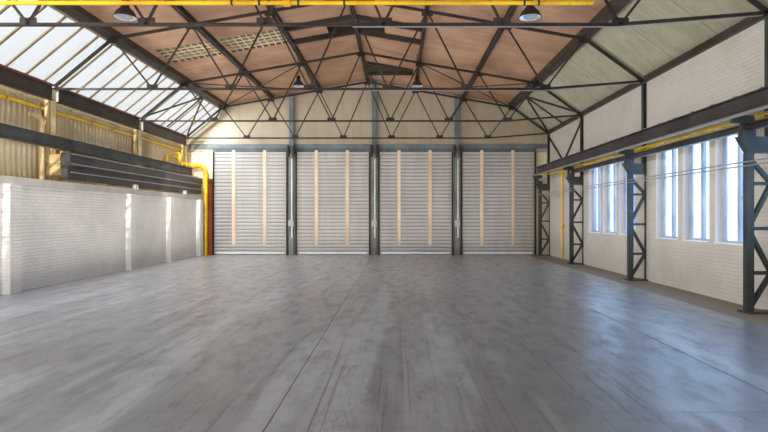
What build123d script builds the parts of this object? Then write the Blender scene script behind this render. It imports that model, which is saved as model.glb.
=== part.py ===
from build123d import *
import os
from math import atan2, cos, degrees, hypot, sin, tan

os.makedirs("parts", exist_ok=True)

# A factory hall of six bays. X runs across the hall, Y along it, Z up from the ground.
# The ridge stands over X = 0, the middle of the hall is at Y = 0. All sizes are millimetres.

# Length of the hall
bay = 5000
full_bays = 4
end_bay = 4350
end_gap = 450
gable_thickness = 120
verge_overhang = 100

# Side walls and floor
floor_level = 150
wall_face = 7870
wall_thickness = 330
eaves_overhang = 150

# Brick lining in front of the left columns, with its piers and the band on top
lining_face = 7220
lining_thickness = 120
lining_height = 2400
pier_projection = 170
pier_width = 380
short_panel = 3080
short_panels = 2
long_panel = 5490
long_panels = 4
first_pier = 14050
band_height = 170
band_projection = 20

# Left wall above the band
cladding_face = 8100
cladding_thickness = 80
rail_depth = 80
rail_height = 60
rail_heights = (2600, 3600, 4700)
post_outer_face = 8010
post_width = 235
post_depth = 200
post_slot = 60
post_slot_depth = 70
post_head = 60
post_head_flare = 50
bracket_bottom = 2780
bracket_waist = 3050
bracket_top = 3330
bracket_face = 7360
bracket_box_face = 7640
girder_seat = 110
bracket_taper = 170
bracket_depth = 240
column_stub_inset = 40

# Beams that carried a travelling crane
left_girder_bottom = 3420
left_girder_centre = 7440
girder_height = 310
girder_flange = 150
flange_thickness = 22
web_thickness = 14
girder_end_gap = 850
right_girder_bottom = 3460
right_girder_centre = 7240
lower_beam_bottom = 3200
lower_beam_height = 130
lower_beam_width = 110
lower_beam_centre = 7480

# Left eaves girder and its sill
eaves_girder_bottom = 4730
eaves_girder_height = 400
eaves_girder_centre = 7780
eaves_girder_flange = 130
sill_thickness = 22
sill_outer_face = 7860
post_clearance = 0.3

# Long housing under the left crane beam
housing_bottom = 2650
housing_top = 3330
housing_depth = 230
housing_step = 60
housing_start = 4550
housing_end_gap = 400

# Windows of the right wall
windows_per_bay = 3
window_width = 1100
window_pier = 220
window_sill = 1140
window_head = 3550
window_setback = 140
frame_bar = 60
frame_depth = 70
pane_thickness = 20

# Lattice columns on the right
column_face = 7400
column_chord = 130
column_width = 110
wall_plate = 10
lacing_bar = 60
lacing_width = 90
strut_heights = (700, 1480, 2270)
column_top = 2810
base_plate = 30
base_plate_width = 320
haunch_top = 3090
haunch_face = 7160
haunch_taper = 200
haunch_depth = 200
bearing_width = 180
upper_column_width = 180
upper_column_depth = 130

# Roof trusses: centre lines of the chords above the floor
ridge_height = 7490
knee_height = 6400
knee_x = 6250
eaves_x = 7800
left_eaves_height = 5120
right_eaves_height = 5280
tie_height = 5070
tie_bend_x = 5150
left_tie_end = 7900
top_chord = 75
bottom_chord = 55
web_bar = 42
chord_width = 80
web_width = 50
gusset_size = 160
gusset_drop = 20
gusset_thickness = 14
panel_points = 3

# Purlins, deck and the coverings of the slopes
purlin_depth = 160
purlin_width = 110
knee_purlin_half = 105
board_thickness = 30
covering_thickness = 50
deck_edge = 80
covering_edge = 120
slope_gap = 35
sheet_thickness = 50
glazing_bar_depth = 60
glazing_bar_width = 50
glazing_rail = 90
bars_per_bay = 7
eaves_purlin = 90

# Openings in the deck
roof_light_x = (-5950, -2220)
roof_light_y = (6880, 8300)
vent_half_width = 900
vent_y = (6850, 8000)
hatch_x = (130, 1920)
hatch_y = (11700, 12650)
kerb_width = 70
kerb_height = 90
vent_rise = 330
vent_roof = 40
hatch_cover = 40

# Bracing
brace_bar = 50
roof_rod = 30
wall_brace = 60

# Doorways and their roller shutters, the same in both gables
doors = 4
door_pitch = 3625
door_set_centre = 285
door_width = 3050
door_height = 4500
shutter_side_lap = 50
curtain_thickness = 40
curtain_offset = 60
guide_width = 70
guide_depth = 140
hood_height = 400
hood_depth = 350
lintel_height = 170
flashing_height = 190
flashing_thickness = 60
bottom_rail = 140
gable_column = 200
gable_column_web = 60
gable_column_offset = 20
board_width = 140
shutter_board_thickness = 20
shutter_board_bottom = 450
shutter_board_top = 4580
board_places = (0.27, 0.70)
drive_bottom = 4260
drive_height = 520
drive_width = 340
drive_depth = 180
box_bottom = 1250
box_height = 260
box_width = 240
box_depth = 120

# Pipes and conduits
wall_pipe = 85
wall_pipe_height = 4535
corner_pipe = 170
corner_pipe_x = -7060
corner_pipe_top = 3880
corner_pipe_gap = 230
corner_bend = 260
red_pipe = 190
red_pipe_x = -6850
red_pipe_gap = 290
red_pipe_top = 3260
cross_pipe = 75
cross_pipe_height = 5420
cross_pipe_start = -7420
cross_pipe_end = 4700
right_pipe = 60
right_pipe_x = 7620
right_pipe_height = 3375
right_pipe_end = 12250
right_pipe_drop_x = 7790
right_pipe_bend = 75
girder_pipe = 60
wall_conduit = 24
wall_conduit_heights = (2580, 2650)
chord_conduit = 26
chord_conduit_start = 500
chord_conduit_bend = 100
conduit_clearance = 20
seat_gap = 0.5

# Lamps hung from the roof
lamp_rim = 215
lamp_neck = 70
lamp_shade_height = 170
lamp_body_height = 190
lamp_wall = 6
lamp_rod = 20
lamp_offset = 330
wide_lamp_x = (-3660, 3700)
wide_lamp_rim_height = 5300
narrow_lamp_x = (-2160, 1980)
narrow_lamp_rim_height = 6220

# Places that follow from the driving dimensions
half_full = full_bays * bay / 2
last_line = half_full + end_bay
lines = [-last_line] + [i * bay - half_full for i in range(full_bays + 1)] + [last_line]
inner_half = last_line + end_gap
outer_half = inner_half + gable_thickness
verge = outer_half + verge_overhang
wall_outer = wall_face + wall_thickness
eaves_edge = wall_outer + eaves_overhang
sheet_start = knee_x + knee_purlin_half
band_top = lining_height + band_height
eaves_heights = {-1: left_eaves_height, 1: right_eaves_height}
door_centres = [door_set_centre + (i - (doors - 1) / 2) * door_pitch for i in range(doors)]
column_centres = [(a + b) / 2 for a, b in zip(door_centres, door_centres[1:])]
low_pitch = (ridge_height - knee_height) / knee_x


# Height above the ground of a height above the floor
def up(height):
    return floor_level + height


# Fall of the steep slope on one side, and its angle in radians
def steep_pitch(side):
    return (knee_height - eaves_heights[side]) / (eaves_x - knee_x)


def steep_angle(side):
    return atan2(knee_height - eaves_heights[side], eaves_x - knee_x)


# Centre line of the top chord under the low roof, carried on past the knee
def low_line(x):
    return up(ridge_height) - low_pitch * abs(x)


# Centre line of the top chord under a steep slope
def steep_line(x, side):
    return up(knee_height) - steep_pitch(side) * (abs(x) - knee_x)


# Underside of the deck boards, and of the sheets or glazing on a steep slope
def deck_under(x):
    return low_line(x) + top_chord / 2 + purlin_depth


def slope_under(x, side):
    return steep_line(x, side) + (top_chord / 2 + slope_gap) / cos(steep_angle(side))


# Adds a rectangle to the open sketch from its left, right, bottom and top edges
def add_panel(left, right, bottom, top):
    with Locations(((left + right) / 2, (bottom + top) / 2)):
        Rectangle(right - left, top - bottom)


# Adds a straight bar to the open sketch, between two points
def add_bar(start, end, depth):
    run = (end[0] - start[0], end[1] - start[1])
    with Locations(((start[0] + end[0]) / 2, (start[1] + end[1]) / 2)):
        Rectangle(hypot(*run), depth, rotation=degrees(atan2(run[1], run[0])))


# Adds an outline of straight edges to the open sketch
def add_outline(points):
    with BuildLine() as outline:
        Polyline(*points, close=True)
    make_face(outline.edges())


# Cross section, its plane facing along the hall, at one place on the length
def section_at(y):
    return Plane.XZ.offset(-y)


# Adds an I section to the open sketch
def add_beam_section(centre, bottom, height, flange):
    top = bottom + height
    add_panel(centre - flange / 2, centre + flange / 2, bottom, bottom + flange_thickness)
    add_panel(centre - flange / 2, centre + flange / 2, top - flange_thickness, top)
    add_panel(centre - web_thickness / 2, centre + web_thickness / 2, bottom, top)


# Adds a band of even thickness that lies on a steep slope between two distances from the ridge
def add_slope_band(side, start, end, lift, thickness):
    rise = 1 / cos(steep_angle(side))
    low = [(side * x, slope_under(x, side) + lift * rise) for x in (start, end)]
    high = [(x, z + thickness * rise) for x, z in reversed(low)]
    add_outline(low + high)


# Adds one fall of a layer of the low roof, from the ridge to its edge
def add_deck_layer(side, edge, lift, thickness):
    low = [(x, deck_under(x) + lift) for x in (0, side * edge)]
    high = [(x, z + thickness) for x, z in reversed(low)]
    add_outline(low + high)


# Distance down that plane of a steep slope of a place across the hall
def slope_place(x, side):
    angle = steep_angle(side)
    return (x - knee_x) / cos(angle) - (top_chord / 2 + slope_gap) * tan(angle)


# Plane of the underside of a steep slope: its X runs down the slope from the knee
def slope_plane(side):
    angle = steep_angle(side)
    normal = Vector(side * sin(angle), 0, cos(angle))
    knee = Vector(side * knee_x, 0, up(knee_height))
    origin = knee + normal * (top_chord / 2 + slope_gap)
    return Plane(origin=origin, x_dir=(side * cos(angle), 0, -sin(angle)), z_dir=normal)


# Cuts a rectangular hole straight up through a roof layer
def cut_roof_hole(x_range, y_range):
    with BuildSketch() as hole:
        add_panel(x_range[0], x_range[1], y_range[0], y_range[1])
    extrude(hole.sketch, amount=2 * up(ridge_height), mode=Mode.SUBTRACT)


# Adds a round pipe along straight runs joined by arcs of one radius
def add_pipe(points, diameter, bend=0):
    with BuildLine() as route:
        if bend:
            FilletPolyline(*points, radius=bend)
        else:
            Polyline(*points)
    with BuildSketch(Plane(origin=route.line @ 0, z_dir=route.line % 0)) as section:
        Circle(diameter / 2)
    sweep(section.sketch, path=route.line)


# Floor and side walls
with BuildPart() as floor_slab:
    with BuildSketch():
        Rectangle(2 * wall_face, 2 * outer_half)
    extrude(amount=floor_level)
floor_slab.part.label = "floor_slab"
export_step(floor_slab.part, "parts/floor_slab.step")

with BuildPart() as left_wall:
    with BuildSketch(Plane.XZ):
        add_panel(-wall_outer, -wall_face, 0, up(lining_height))
    extrude(amount=outer_half, both=True)
left_wall.part.label = "left_wall"
export_step(left_wall.part, "parts/left_wall.step")

window_middle = up((window_sill + window_head) / 2)
window_height = window_head - window_sill
window_places = [
    ((first + second) / 2 + (i - (windows_per_bay - 1) / 2) * (window_width + window_pier), window_middle)
    for first, second in zip(lines[1:-1], lines[2:-1])
    for i in range(windows_per_bay)
]

with BuildPart() as right_wall:
    with BuildSketch(Plane.XZ):
        faces = (wall_face, wall_outer)
        tops = [(x, slope_under(x, 1)) for x in reversed(faces)]
        add_outline([(wall_face, 0), (wall_outer, 0)] + tops)
    extrude(amount=outer_half, both=True)
    with BuildSketch(Plane.YZ.offset(wall_face)):
        with Locations(*window_places):
            Rectangle(window_width, window_height)
    extrude(amount=wall_thickness, mode=Mode.SUBTRACT)
right_wall.part.label = "right_wall"
export_step(right_wall.part, "parts/right_wall.step")

with BuildPart() as window_frames:
    with BuildSketch(Plane.YZ.offset(wall_face + window_setback)):
        with Locations(*window_places):
            Rectangle(window_width, window_height)
        with Locations(*window_places):
            clear_width = (window_width - 3 * frame_bar) / 2
            with GridLocations((window_width - frame_bar) / 2, 0, 2, 1):
                Rectangle(clear_width, window_height - 2 * frame_bar, mode=Mode.SUBTRACT)
    extrude(amount=frame_depth)
window_frames.part.label = "window_frames"
export_step(window_frames.part, "parts/window_frames.step")

with BuildPart() as window_panes:
    with BuildSketch(Plane.YZ.offset(wall_face + window_setback + frame_depth)):
        with Locations(*window_places):
            Rectangle(window_width, window_height)
    extrude(amount=pane_thickness)
window_panes.part.label = "window_panes"
export_step(window_panes.part, "parts/window_panes.step")

# Brick lining of the left side, its piers and the band on top
pier_places = [first_pier - i * short_panel for i in range(short_panels + 1)]
pier_places += [pier_places[-1] - (i + 1) * long_panel for i in range(long_panels)]

with BuildPart() as lining_wall:
    with BuildSketch(Plane.XY.offset(floor_level)):
        add_panel(-lining_face - lining_thickness, -lining_face, -inner_half, inner_half)
    extrude(amount=lining_height)
lining_wall.part.label = "lining_wall"
export_step(lining_wall.part, "parts/lining_wall.step")

with BuildPart() as lining_piers:
    with BuildSketch(Plane.XY.offset(floor_level)):
        for y in pier_places:
            pier_y = (y - pier_width / 2, y + pier_width / 2)
            add_panel(-lining_face, pier_projection - lining_face, pier_y[0], pier_y[1])
    extrude(amount=lining_height)
lining_piers.part.label = "lining_piers"
export_step(lining_piers.part, "parts/lining_piers.step")

with BuildPart() as wall_band:
    with BuildSketch(Plane.XZ):
        add_panel(-wall_face, band_projection - lining_face, up(lining_height), up(band_top))
    extrude(amount=inner_half, both=True)
    with BuildSketch(Plane.XZ):
        add_panel(-wall_outer, -wall_face, up(lining_height), up(band_top))
    extrude(amount=outer_half, both=True)
wall_band.part.label = "wall_band"
export_step(wall_band.part, "parts/wall_band.step")

# Left wall above the band: sheet cladding on rails, posts and brackets
with BuildPart() as left_cladding:
    with BuildSketch(Plane.XZ):
        faces = (cladding_face, cladding_face + cladding_thickness)
        tops = [(-x, slope_under(x, -1)) for x in reversed(faces)]
        add_outline([(-x, up(band_top)) for x in faces] + tops)
    extrude(amount=outer_half, both=True)
left_cladding.part.label = "left_cladding"
export_step(left_cladding.part, "parts/left_cladding.step")

with BuildPart() as cladding_rails:
    with BuildSketch(Plane.XZ):
        for height in rail_heights:
            add_panel(rail_depth - cladding_face, -cladding_face, up(height), up(height) + rail_height)
    extrude(amount=inner_half, both=True)
cladding_rails.part.label = "cladding_rails"
export_step(cladding_rails.part, "parts/cladding_rails.step")

post_centre = post_width / 2 - post_outer_face
post_top = tie_height - bottom_chord / 2

with BuildPart() as left_posts:
    with BuildSketch(Plane.XY.offset(up(bracket_top))):
        for y in lines:
            with Locations((post_centre, y)):
                Rectangle(post_width, post_depth)
            with Locations((post_centre, y - post_depth / 2), (post_centre, y + post_depth / 2)):
                Rectangle(post_slot, 2 * post_slot_depth, mode=Mode.SUBTRACT)
    extrude(amount=post_top - bracket_top)
    with BuildSketch(Plane.XY.offset(up(post_top - post_head))):
        with Locations(*[(post_centre, y) for y in lines]):
            Rectangle(post_width, post_depth + 2 * post_head_flare)
    extrude(amount=post_head)
left_posts.part.label = "left_posts"
export_step(left_posts.part, "parts/left_posts.step")

rail_face = cladding_face - rail_depth

with BuildPart() as left_brackets:
    for y in lines:
        with BuildSketch(section_at(y)):
            stub = (-wall_face, -lining_face - lining_thickness - column_stub_inset)
            add_panel(stub[0], stub[1], up(band_top), up(bracket_bottom))
            add_outline([
                (-rail_face, up(bracket_bottom)),
                (-bracket_face - bracket_taper, up(bracket_bottom)),
                (-bracket_face, up(bracket_waist)),
                (-rail_face, up(bracket_waist)),
            ])
            add_panel(-rail_face, -bracket_box_face, up(bracket_waist), up(bracket_top))
            add_panel(-left_girder_centre - girder_seat / 2, girder_seat / 2 - left_girder_centre,
                      up(bracket_waist), up(left_girder_bottom))
        extrude(amount=bracket_depth / 2, both=True)
left_brackets.part.label = "left_brackets"
export_step(left_brackets.part, "parts/left_brackets.step")

# Crane beams on both sides
girder_half_length = inner_half - girder_end_gap

with BuildPart() as left_crane_girder:
    with BuildSketch(Plane.XZ):
        add_beam_section(-left_girder_centre, up(left_girder_bottom), girder_height, girder_flange)
    extrude(amount=girder_half_length, both=True)
left_crane_girder.part.label = "left_crane_girder"
export_step(left_crane_girder.part, "parts/left_crane_girder.step")

with BuildPart() as right_crane_girder:
    with BuildSketch(Plane.XZ):
        add_beam_section(right_girder_centre, up(right_girder_bottom), girder_height, girder_flange)
    extrude(amount=girder_half_length, both=True)
right_crane_girder.part.label = "right_crane_girder"
export_step(right_crane_girder.part, "parts/right_crane_girder.step")

lower_beam_half_length = half_full + column_width / 2

with BuildPart() as right_lower_beam:
    with BuildSketch(Plane.XZ):
        add_beam_section(lower_beam_centre, up(lower_beam_bottom), lower_beam_height, lower_beam_width)
    extrude(amount=lower_beam_half_length, both=True)
right_lower_beam.part.label = "right_lower_beam"
export_step(right_lower_beam.part, "parts/right_lower_beam.step")

# Deep girder under the left glazing, between the posts, with its sill
eaves_run_gap = post_depth / 2 + post_head_flare + post_clearance

with BuildPart() as left_eaves_girder:
    for first, second in zip(lines, lines[1:]):
        with BuildSketch(section_at((first + second) / 2)):
            add_beam_section(-eaves_girder_centre, up(eaves_girder_bottom), eaves_girder_height,
                             eaves_girder_flange)
            girder_top = up(eaves_girder_bottom + eaves_girder_height)
            add_panel(-sill_outer_face, eaves_girder_flange / 2 - eaves_girder_centre,
                      girder_top, girder_top + sill_thickness)
        extrude(amount=(second - first) / 2 - eaves_run_gap, both=True)
left_eaves_girder.part.label = "left_eaves_girder"
export_step(left_eaves_girder.part, "parts/left_eaves_girder.step")

# Long stepped housing that hangs from the left brackets
with BuildPart() as wall_housing:
    housing_stop = inner_half - housing_end_gap
    with BuildSketch(section_at((housing_start + housing_stop) / 2)):
        back = -bracket_face
        middle = up((housing_bottom + housing_top) / 2)
        add_panel(back, back + housing_depth - housing_step, up(housing_bottom), up(housing_top))
        add_panel(back, back + housing_depth, middle, up(housing_top))
    extrude(amount=(housing_stop - housing_start) / 2, both=True)
wall_housing.part.label = "wall_housing"
export_step(wall_housing.part, "parts/wall_housing.step")

# Lattice columns on the right with haunches, bearing blocks and upper columns
with BuildPart() as right_columns:
    for y in lines:
        with BuildSketch(section_at(y)):
            add_panel(column_face, column_face + column_chord, up(base_plate), up(column_top))
            add_panel(wall_face - wall_plate, wall_face, up(base_plate), up(column_top))
        extrude(amount=column_width / 2, both=True)
        with BuildSketch(section_at(y)):
            inner_x = column_face + column_chord / 2
            outer_x = wall_face - lacing_bar / 2
            for height in strut_heights:
                add_bar((inner_x, up(height)), (wall_face - wall_plate, up(height)), lacing_bar)
            steps = (base_plate,) + strut_heights + (column_top - lacing_bar,)
            for i, (low, high) in enumerate(zip(steps, steps[1:])):
                near, far = (inner_x, outer_x) if i % 2 == 0 else (outer_x, inner_x)
                add_bar((near, up(low + lacing_bar / 2)), (far, up(high - lacing_bar / 2)), lacing_bar)
        extrude(amount=lacing_width / 2, both=True)
        with BuildSketch(Plane.XY.offset(floor_level)):
            plate_half = base_plate_width / 2
            add_panel(column_face - base_plate, wall_face, y - plate_half, y + plate_half)
        extrude(amount=base_plate)
right_columns.part.label = "right_columns"
export_step(right_columns.part, "parts/right_columns.step")

with BuildPart() as right_brackets:
    for y in lines:
        with BuildSketch(section_at(y)):
            add_outline([
                (wall_face, up(column_top)),
                (haunch_face + haunch_taper, up(column_top)),
                (haunch_face, up(haunch_top)),
                (wall_face, up(haunch_top)),
            ])
            bearing_low = right_girder_centre - bearing_width / 2
            add_panel(max(bearing_low, haunch_face), right_girder_centre + bearing_width / 2,
                      up(haunch_top), up(right_girder_bottom))
            if abs(y) <= half_full:
                lower_half = lower_beam_width / 2
                add_panel(lower_beam_centre - lower_half, lower_beam_centre + lower_half,
                          up(haunch_top), up(lower_beam_bottom))
        extrude(amount=haunch_depth / 2, both=True)
right_brackets.part.label = "right_brackets"
export_step(right_brackets.part, "parts/right_brackets.step")


# Underside of the tie at a place right of its bend
def tie_under(x):
    rise = (right_eaves_height - tie_height) / (eaves_x - tie_bend_x)
    return up(tie_height) + rise * (x - tie_bend_x) - bottom_chord / 2 * hypot(1, rise)


upper_column_face = wall_face - upper_column_depth

with BuildPart() as right_upper_columns:
    for y in lines:
        with BuildSketch(section_at(y)):
            add_panel(upper_column_face, wall_face, up(haunch_top), tie_under(upper_column_face) - seat_gap)
        extrude(amount=upper_column_width / 2, both=True)
right_upper_columns.part.label = "right_upper_columns"
export_step(right_upper_columns.part, "parts/right_upper_columns.step")

# Roof trusses: chords, web and gusset plates
top_step = knee_x / panel_points
top_nodes = [(i * top_step, low_line(i * top_step)) for i in range(panel_points + 1)]
bottom_nodes = [((i + 0.5) * top_step, up(tie_height)) for i in range(panel_points)]


# Mirrors a point of the cross section to the left or keeps it on the right
def on_side(point, side):
    return (side * point[0], point[1])


with BuildPart() as roof_trusses:
    for y in lines:
        with BuildSketch(section_at(y)):
            for side in (-1, 1):
                add_bar(on_side(top_nodes[0], side), on_side(top_nodes[-1], side), top_chord)
                heel = (side * eaves_x, steep_line(eaves_x, side))
                add_bar(on_side(top_nodes[-1], side), heel, top_chord)
            add_panel(-left_tie_end, tie_bend_x, up(tie_height) - bottom_chord / 2,
                      up(tie_height) + bottom_chord / 2)
            add_bar((tie_bend_x, up(tie_height)), (eaves_x, up(right_eaves_height)), bottom_chord)
        extrude(amount=chord_width / 2, both=True)
        with BuildSketch(section_at(y)):
            for side in (-1, 1):
                for i, bottom in enumerate(bottom_nodes):
                    add_bar(on_side(top_nodes[i], side), on_side(bottom, side), web_bar)
                    add_bar(on_side(bottom, side), on_side(top_nodes[i + 1], side), web_bar)
        extrude(amount=web_width / 2, both=True)
        with BuildSketch(section_at(y)):
            for side in (-1, 1):
                with Locations(*[on_side(node, side) for node in bottom_nodes]):
                    Rectangle(gusset_size, gusset_size / 2, align=(Align.CENTER, Align.MIN))
                with Locations(*[(side * x, z - gusset_drop) for x, z in top_nodes]):
                    Rectangle(gusset_size, gusset_size / 2, align=(Align.CENTER, Align.MAX))
        extrude(amount=gusset_thickness / 2, both=True)
roof_trusses.part.label = "roof_trusses"
export_step(roof_trusses.part, "parts/roof_trusses.step")


# Adds the section of a purlin that fills the height between the top chord and the deck
def add_purlin_section(left, right):
    places = [left, right] if left * right >= 0 else [left, 0, right]
    low = [(x, low_line(x) + top_chord / 2 * hypot(1, low_pitch)) for x in places]
    high = [(x, deck_under(x)) for x in reversed(places)]
    add_outline(low + high)


with BuildPart() as roof_purlins:
    with BuildSketch(Plane.XZ):
        for i in range(1 - panel_points, panel_points):
            add_purlin_section(i * top_step - purlin_width / 2, i * top_step + purlin_width / 2)
    extrude(amount=inner_half, both=True)
roof_purlins.part.label = "roof_purlins"
export_step(roof_purlins.part, "parts/roof_purlins.step")

trimmer_places = (vent_y[0] - purlin_width / 2, vent_y[1] + purlin_width / 2)

with BuildPart() as vent_trimmers:
    for y in trimmer_places:
        with BuildSketch(section_at(y)):
            add_purlin_section(-top_step + purlin_width / 2, -purlin_width / 2)
            add_purlin_section(purlin_width / 2, top_step - purlin_width / 2)
        extrude(amount=purlin_width / 2, both=True)
vent_trimmers.part.label = "vent_trimmers"
export_step(vent_trimmers.part, "parts/vent_trimmers.step")

with BuildPart() as knee_purlins:
    with BuildSketch(Plane.XZ):
        for side in (-1, 1):
            inside = knee_x - knee_purlin_half
            chord_rise = top_chord / 2 / cos(steep_angle(side))
            outline = [
                (side * inside, low_line(inside) + top_chord / 2 * hypot(1, low_pitch)),
                (side * knee_x, up(knee_height) + chord_rise),
                (side * sheet_start, steep_line(sheet_start, side) + chord_rise),
                (side * sheet_start, deck_under(sheet_start)),
                (side * inside, deck_under(inside)),
            ]
            add_outline(outline)
    extrude(amount=inner_half, both=True)
knee_purlins.part.label = "knee_purlins"
export_step(knee_purlins.part, "parts/knee_purlins.step")

with BuildPart() as right_eaves_purlins:
    for first, second in zip(lines, lines[1:]):
        with BuildSketch(section_at((first + second) / 2)):
            left = wall_face - eaves_purlin
            add_outline([
                (left, slope_under(wall_face, 1) - eaves_purlin),
                (wall_face, slope_under(wall_face, 1) - eaves_purlin),
                (wall_face, slope_under(wall_face, 1)),
                (left, slope_under(left, 1)),
            ])
        run_gap = upper_column_width / 2 + post_clearance
        extrude(amount=(second - first) / 2 - run_gap, both=True)
right_eaves_purlins.part.label = "right_eaves_purlins"
export_step(right_eaves_purlins.part, "parts/right_eaves_purlins.step")

# Low roof: boards and covering of both falls, with the holes for roof light, ventilator and hatch
vent_x = (-vent_half_width, vent_half_width)
roof_layers = (
    ("left_roof_boards", -1, deck_edge, 0, board_thickness),
    ("right_roof_boards", 1, deck_edge, 0, board_thickness),
    ("left_roof_covering", -1, covering_edge, board_thickness, covering_thickness),
    ("right_roof_covering", 1, covering_edge, board_thickness, covering_thickness),
)
for name, side, edge, lift, thickness in roof_layers:
    with BuildPart() as roof_layer:
        with BuildSketch(Plane.XZ):
            add_deck_layer(side, sheet_start + edge, lift, thickness)
        extrude(amount=verge, both=True)
        cut_roof_hole(vent_x, vent_y)
        if side < 0:
            cut_roof_hole(roof_light_x, roof_light_y)
        else:
            cut_roof_hole(hatch_x, hatch_y)
    roof_layer.part.label = name
    export_step(roof_layer.part, f"parts/{name}.step")

covering_top = board_thickness + covering_thickness


# Adds the outline of a low box that stands on the covering on one fall of the roof
def add_roof_box(x_range, lift, height):
    low = [(x, deck_under(x) + covering_top + lift) for x in x_range]
    high = [(x, z + height) for x, z in reversed(low)]
    add_outline(low + high)


with BuildPart() as roof_light_frame:
    middle_y = sum(roof_light_y) / 2
    with BuildSketch(section_at(middle_y)):
        add_roof_box((roof_light_x[0] - kerb_width, roof_light_x[1] + kerb_width), 0, kerb_height)
    extrude(amount=(roof_light_y[1] - roof_light_y[0]) / 2 + kerb_width, both=True)
    cut_roof_hole(roof_light_x, roof_light_y)
roof_light_frame.part.label = "roof_light_frame"
export_step(roof_light_frame.part, "parts/roof_light_frame.step")

with BuildPart() as roof_light_pane:
    with BuildSketch(section_at(middle_y)):
        pane_x = (roof_light_x[0] - kerb_width, roof_light_x[1] + kerb_width)
        add_roof_box(pane_x, kerb_height, pane_thickness)
    extrude(amount=(roof_light_y[1] - roof_light_y[0]) / 2 + kerb_width, both=True)
roof_light_pane.part.label = "roof_light_pane"
export_step(roof_light_pane.part, "parts/roof_light_pane.step")

with BuildPart() as roof_hatch:
    with BuildSketch(section_at(sum(hatch_y) / 2)):
        add_roof_box((hatch_x[0] - kerb_width, hatch_x[1] + kerb_width), 0, kerb_height + hatch_cover)
    extrude(amount=(hatch_y[1] - hatch_y[0]) / 2 + kerb_width, both=True)
    with BuildSketch(section_at(sum(hatch_y) / 2)):
        add_roof_box(hatch_x, 0, kerb_height)
    extrude(amount=(hatch_y[1] - hatch_y[0]) / 2, both=True, mode=Mode.SUBTRACT)
roof_hatch.part.label = "roof_hatch"
export_step(roof_hatch.part, "parts/roof_hatch.step")

with BuildPart() as ridge_vent:
    vent_outer = vent_half_width + kerb_width
    vent_base = deck_under(0) + covering_top
    with BuildSketch(section_at(sum(vent_y) / 2)):
        add_outline([
            (-vent_outer, deck_under(vent_outer) + covering_top),
            (0, vent_base),
            (vent_outer, deck_under(vent_outer) + covering_top),
            (vent_outer, deck_under(vent_outer) + covering_top + vent_rise),
            (0, vent_base + vent_rise + vent_roof),
            (-vent_outer, deck_under(vent_outer) + covering_top + vent_rise),
        ])
    extrude(amount=(vent_y[1] - vent_y[0]) / 2 + kerb_width, both=True)
    with BuildSketch(section_at(sum(vent_y) / 2)):
        add_outline([
            (-vent_half_width, 0),
            (vent_half_width, 0),
            (vent_half_width, deck_under(vent_half_width) + covering_top + vent_rise - vent_roof),
            (0, vent_base + vent_rise - vent_roof),
            (-vent_half_width, deck_under(vent_half_width) + covering_top + vent_rise - vent_roof),
        ])
    extrude(amount=(vent_y[1] - vent_y[0]) / 2, both=True, mode=Mode.SUBTRACT)
ridge_vent.part.label = "ridge_vent"
export_step(ridge_vent.part, "parts/ridge_vent.step")

# Steep slopes: sheets on the right, glazing on the left
with BuildPart() as slope_sheets:
    with BuildSketch(Plane.XZ):
        add_slope_band(1, sheet_start, eaves_edge, 0, sheet_thickness)
    extrude(amount=verge, both=True)
slope_sheets.part.label = "slope_sheets"
export_step(slope_sheets.part, "parts/slope_sheets.step")

bar_pitch = bay / bars_per_bay
bar_count = int(2 * verge / bar_pitch)

with BuildPart() as glazing_bars:
    with BuildSketch(Plane.XZ):
        add_slope_band(-1, sheet_start, eaves_edge, 0, glazing_bar_depth)
    extrude(amount=verge, both=True)
    with BuildSketch():
        for i in range(bar_count + 1):
            middle_gap = (i - bar_count / 2) * bar_pitch
            with Locations((-(sheet_start + eaves_edge) / 2, middle_gap)):
                edge_width = 2 * (verge - glazing_bar_width - abs(middle_gap))
                clear_width = min(bar_pitch - glazing_bar_width, edge_width)
                Rectangle(eaves_edge - sheet_start - 2 * glazing_rail, clear_width)
    extrude(amount=2 * up(ridge_height), mode=Mode.SUBTRACT)
glazing_bars.part.label = "glazing_bars"
export_step(glazing_bars.part, "parts/glazing_bars.step")

with BuildPart() as glazing_panes:
    with BuildSketch(Plane.XZ):
        add_slope_band(-1, sheet_start, eaves_edge, glazing_bar_depth, pane_thickness)
    extrude(amount=verge, both=True)
glazing_panes.part.label = "glazing_panes"
export_step(glazing_panes.part, "parts/glazing_panes.step")

# Bracing of the end bays
brace_start = half_full + chord_width / 2
brace_stop = last_line - chord_width / 2
brace_middle = (brace_start + brace_stop) / 2

wall_brace_top = right_eaves_height - 2 * eaves_purlin
wall_brace_foot = right_girder_bottom + girder_height + wall_brace

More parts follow.
